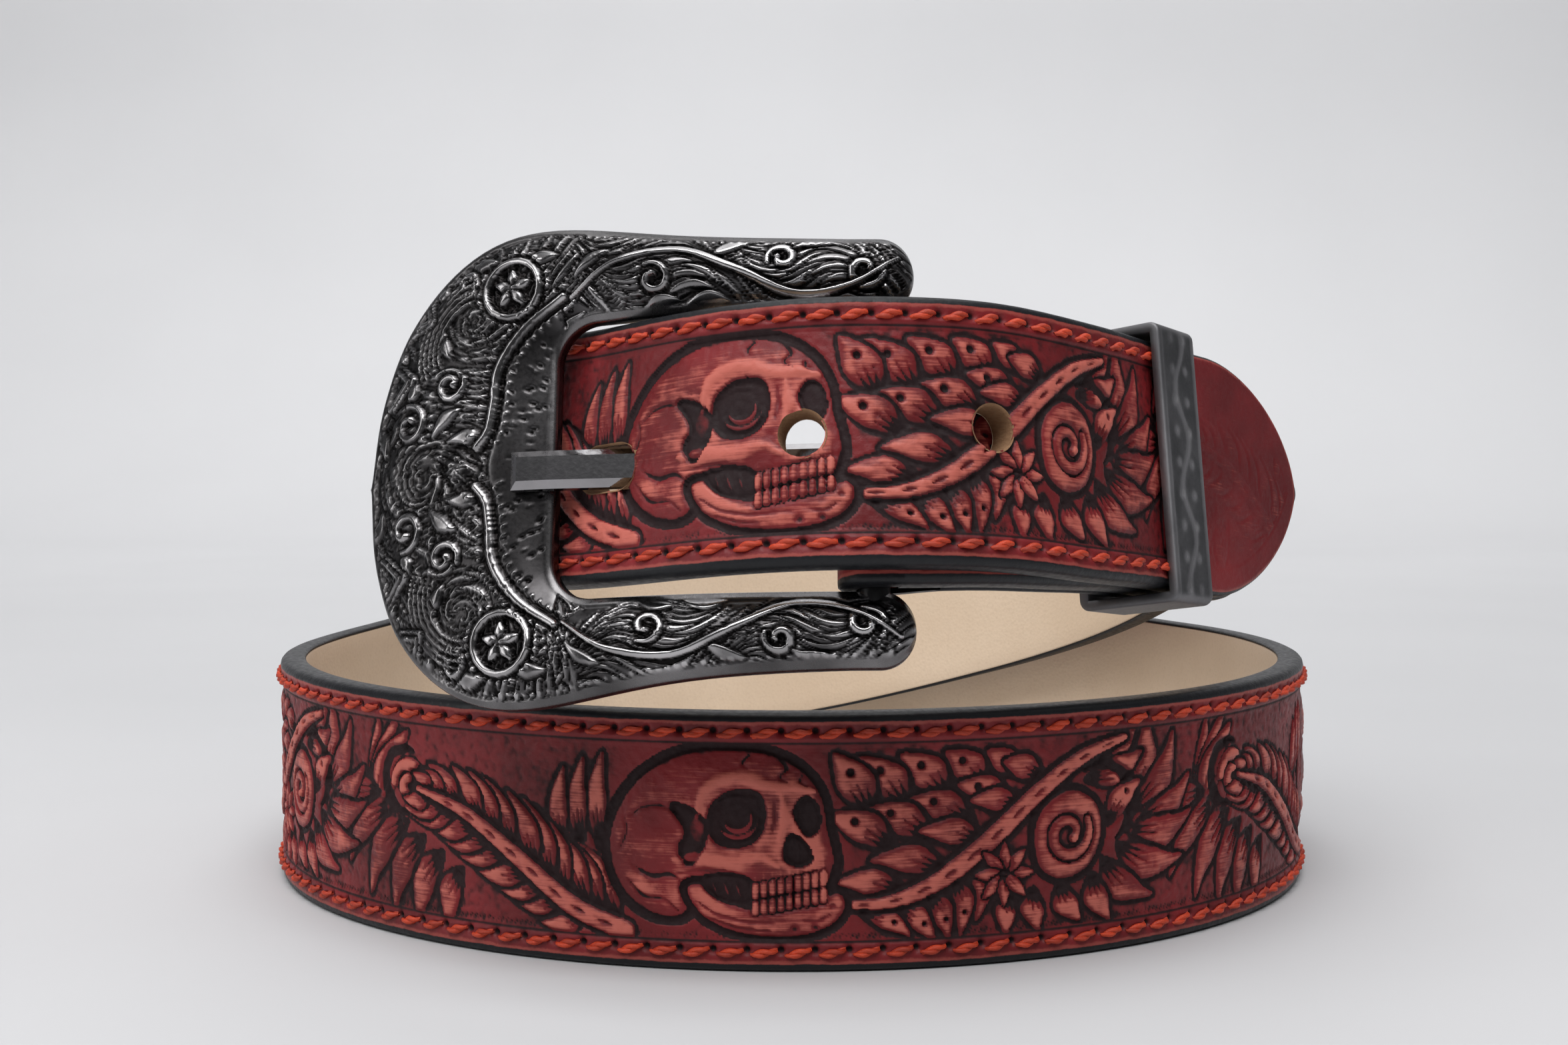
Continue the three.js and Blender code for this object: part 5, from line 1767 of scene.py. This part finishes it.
def sky():
    """A pale ceiling that fades to a dim room at eye level."""
    world = bpy.data.worlds.new("studio")
    world.use_nodes = True
    tree = world.node_tree
    background = tree.nodes["Background"]
    up = node(tree, "ShaderNodeSeparateXYZ",
              {"Vector": node(tree, "ShaderNodeTexCoord").outputs["Generated"]}).outputs["Z"]
    tree.links.new(stretch(tree, up, 0.42, 0.9, 0.1, 0.95), background.inputs["Strength"])
    background.inputs["Color"].default_value = (0.97, 0.98, 1.0, 1)
    bpy.context.scene.world = world


def lights():
    sky()
    centre = (0, 0, 0.05)
    area_light("key_softbox", (-0.12, -0.60, 1.02), centre, (0.95, 0.62), 9)
    area_light("top_softbox", (0, 0.32, 1.22), centre, (1.1, 0.85), 5.5)
    area_light("left_strip", (-1.0, -0.42, 0.36), centre, (0.35, 0.8), 2.2)
    area_light("backdrop_light", (0, 0.3, 1.45), (0, 1.25, 0.5), (1.4, 0.5), 4.9, 95)


def picture():
    """The plain display transform, with no film curve."""
    bpy.context.scene.view_settings.view_transform = "Standard"


def camera():
    eye = np.array([-1.38, -424.5, 83.75]) + SHIFT
    data = bpy.data.cameras.new("camera")
    data.sensor_width = 36
    data.lens = 53.1
    data.clip_start, data.clip_end = 0.01, 50
    made = bpy.data.objects.new("camera", data)
    made.location = eye * MM
    made.rotation_euler = (math.radians(90 - 3.108), 0, 0)
    bpy.context.scene.collection.objects.link(made)
    bpy.context.scene.camera = made


def bands():
    """The strap and its lining in stretches, finest where the photo looks at them."""
    low, high, upper, climb = (PATH.distance(angle) for angle in BAND_ANGLES)
    middle = (low + high) / 2
    leather_band("strap_inner_turn", LEATHER_START, low, *COARSE_GRID)
    leather_band("strap_lower_left", low, middle, *LOWER_GRID)
    leather_band("strap_lower_right", middle, high, *LOWER_GRID)
    leather_band("strap_back", high, upper, *BACK_GRID)
    leather_band("strap_free_end", upper, PATH.length, *UPPER_GRID, tip=True)
    lining_band("lining_inner", LINING_START, climb, *LINING_GRID)
    lining_band("lining_free_end", climb, PATH.length, *LINING_FINE_GRID, tip=True)


def main():
    picture()
    camera()
    leather_material()
    raw_leather_material()
    lining_material()
    thread_material()
    metal_material("gunmetal", [(0.010, 0.009, 0.009), (0.085, 0.081, 0.083), (0.50, 0.485, 0.49)], 0.16, 0.3,
                   (-0.24, 0.02, 0.34))
    metal_material("keeper_metal", [(0.09, 0.09, 0.094), (0.27, 0.265, 0.275), (0.42, 0.41, 0.42)], 0.42,
                   0.55,
                   (-0.09, 0.0, 0.09))
    metal_material("bright_metal", [(0.27, 0.265, 0.27), (0.34, 0.33, 0.34)], 0.08, 0.12)
    metal_material("smooth_metal", [(0.03, 0.029, 0.03), (0.05, 0.049, 0.05)], 0.3, 0.4)
    floor_material()
    floor()
    lights()
    bands()
    hole_walls()
    fold()
    stitching()
    buckle_frame()
    buckle_bar()
    prong()
    keeper()


main()
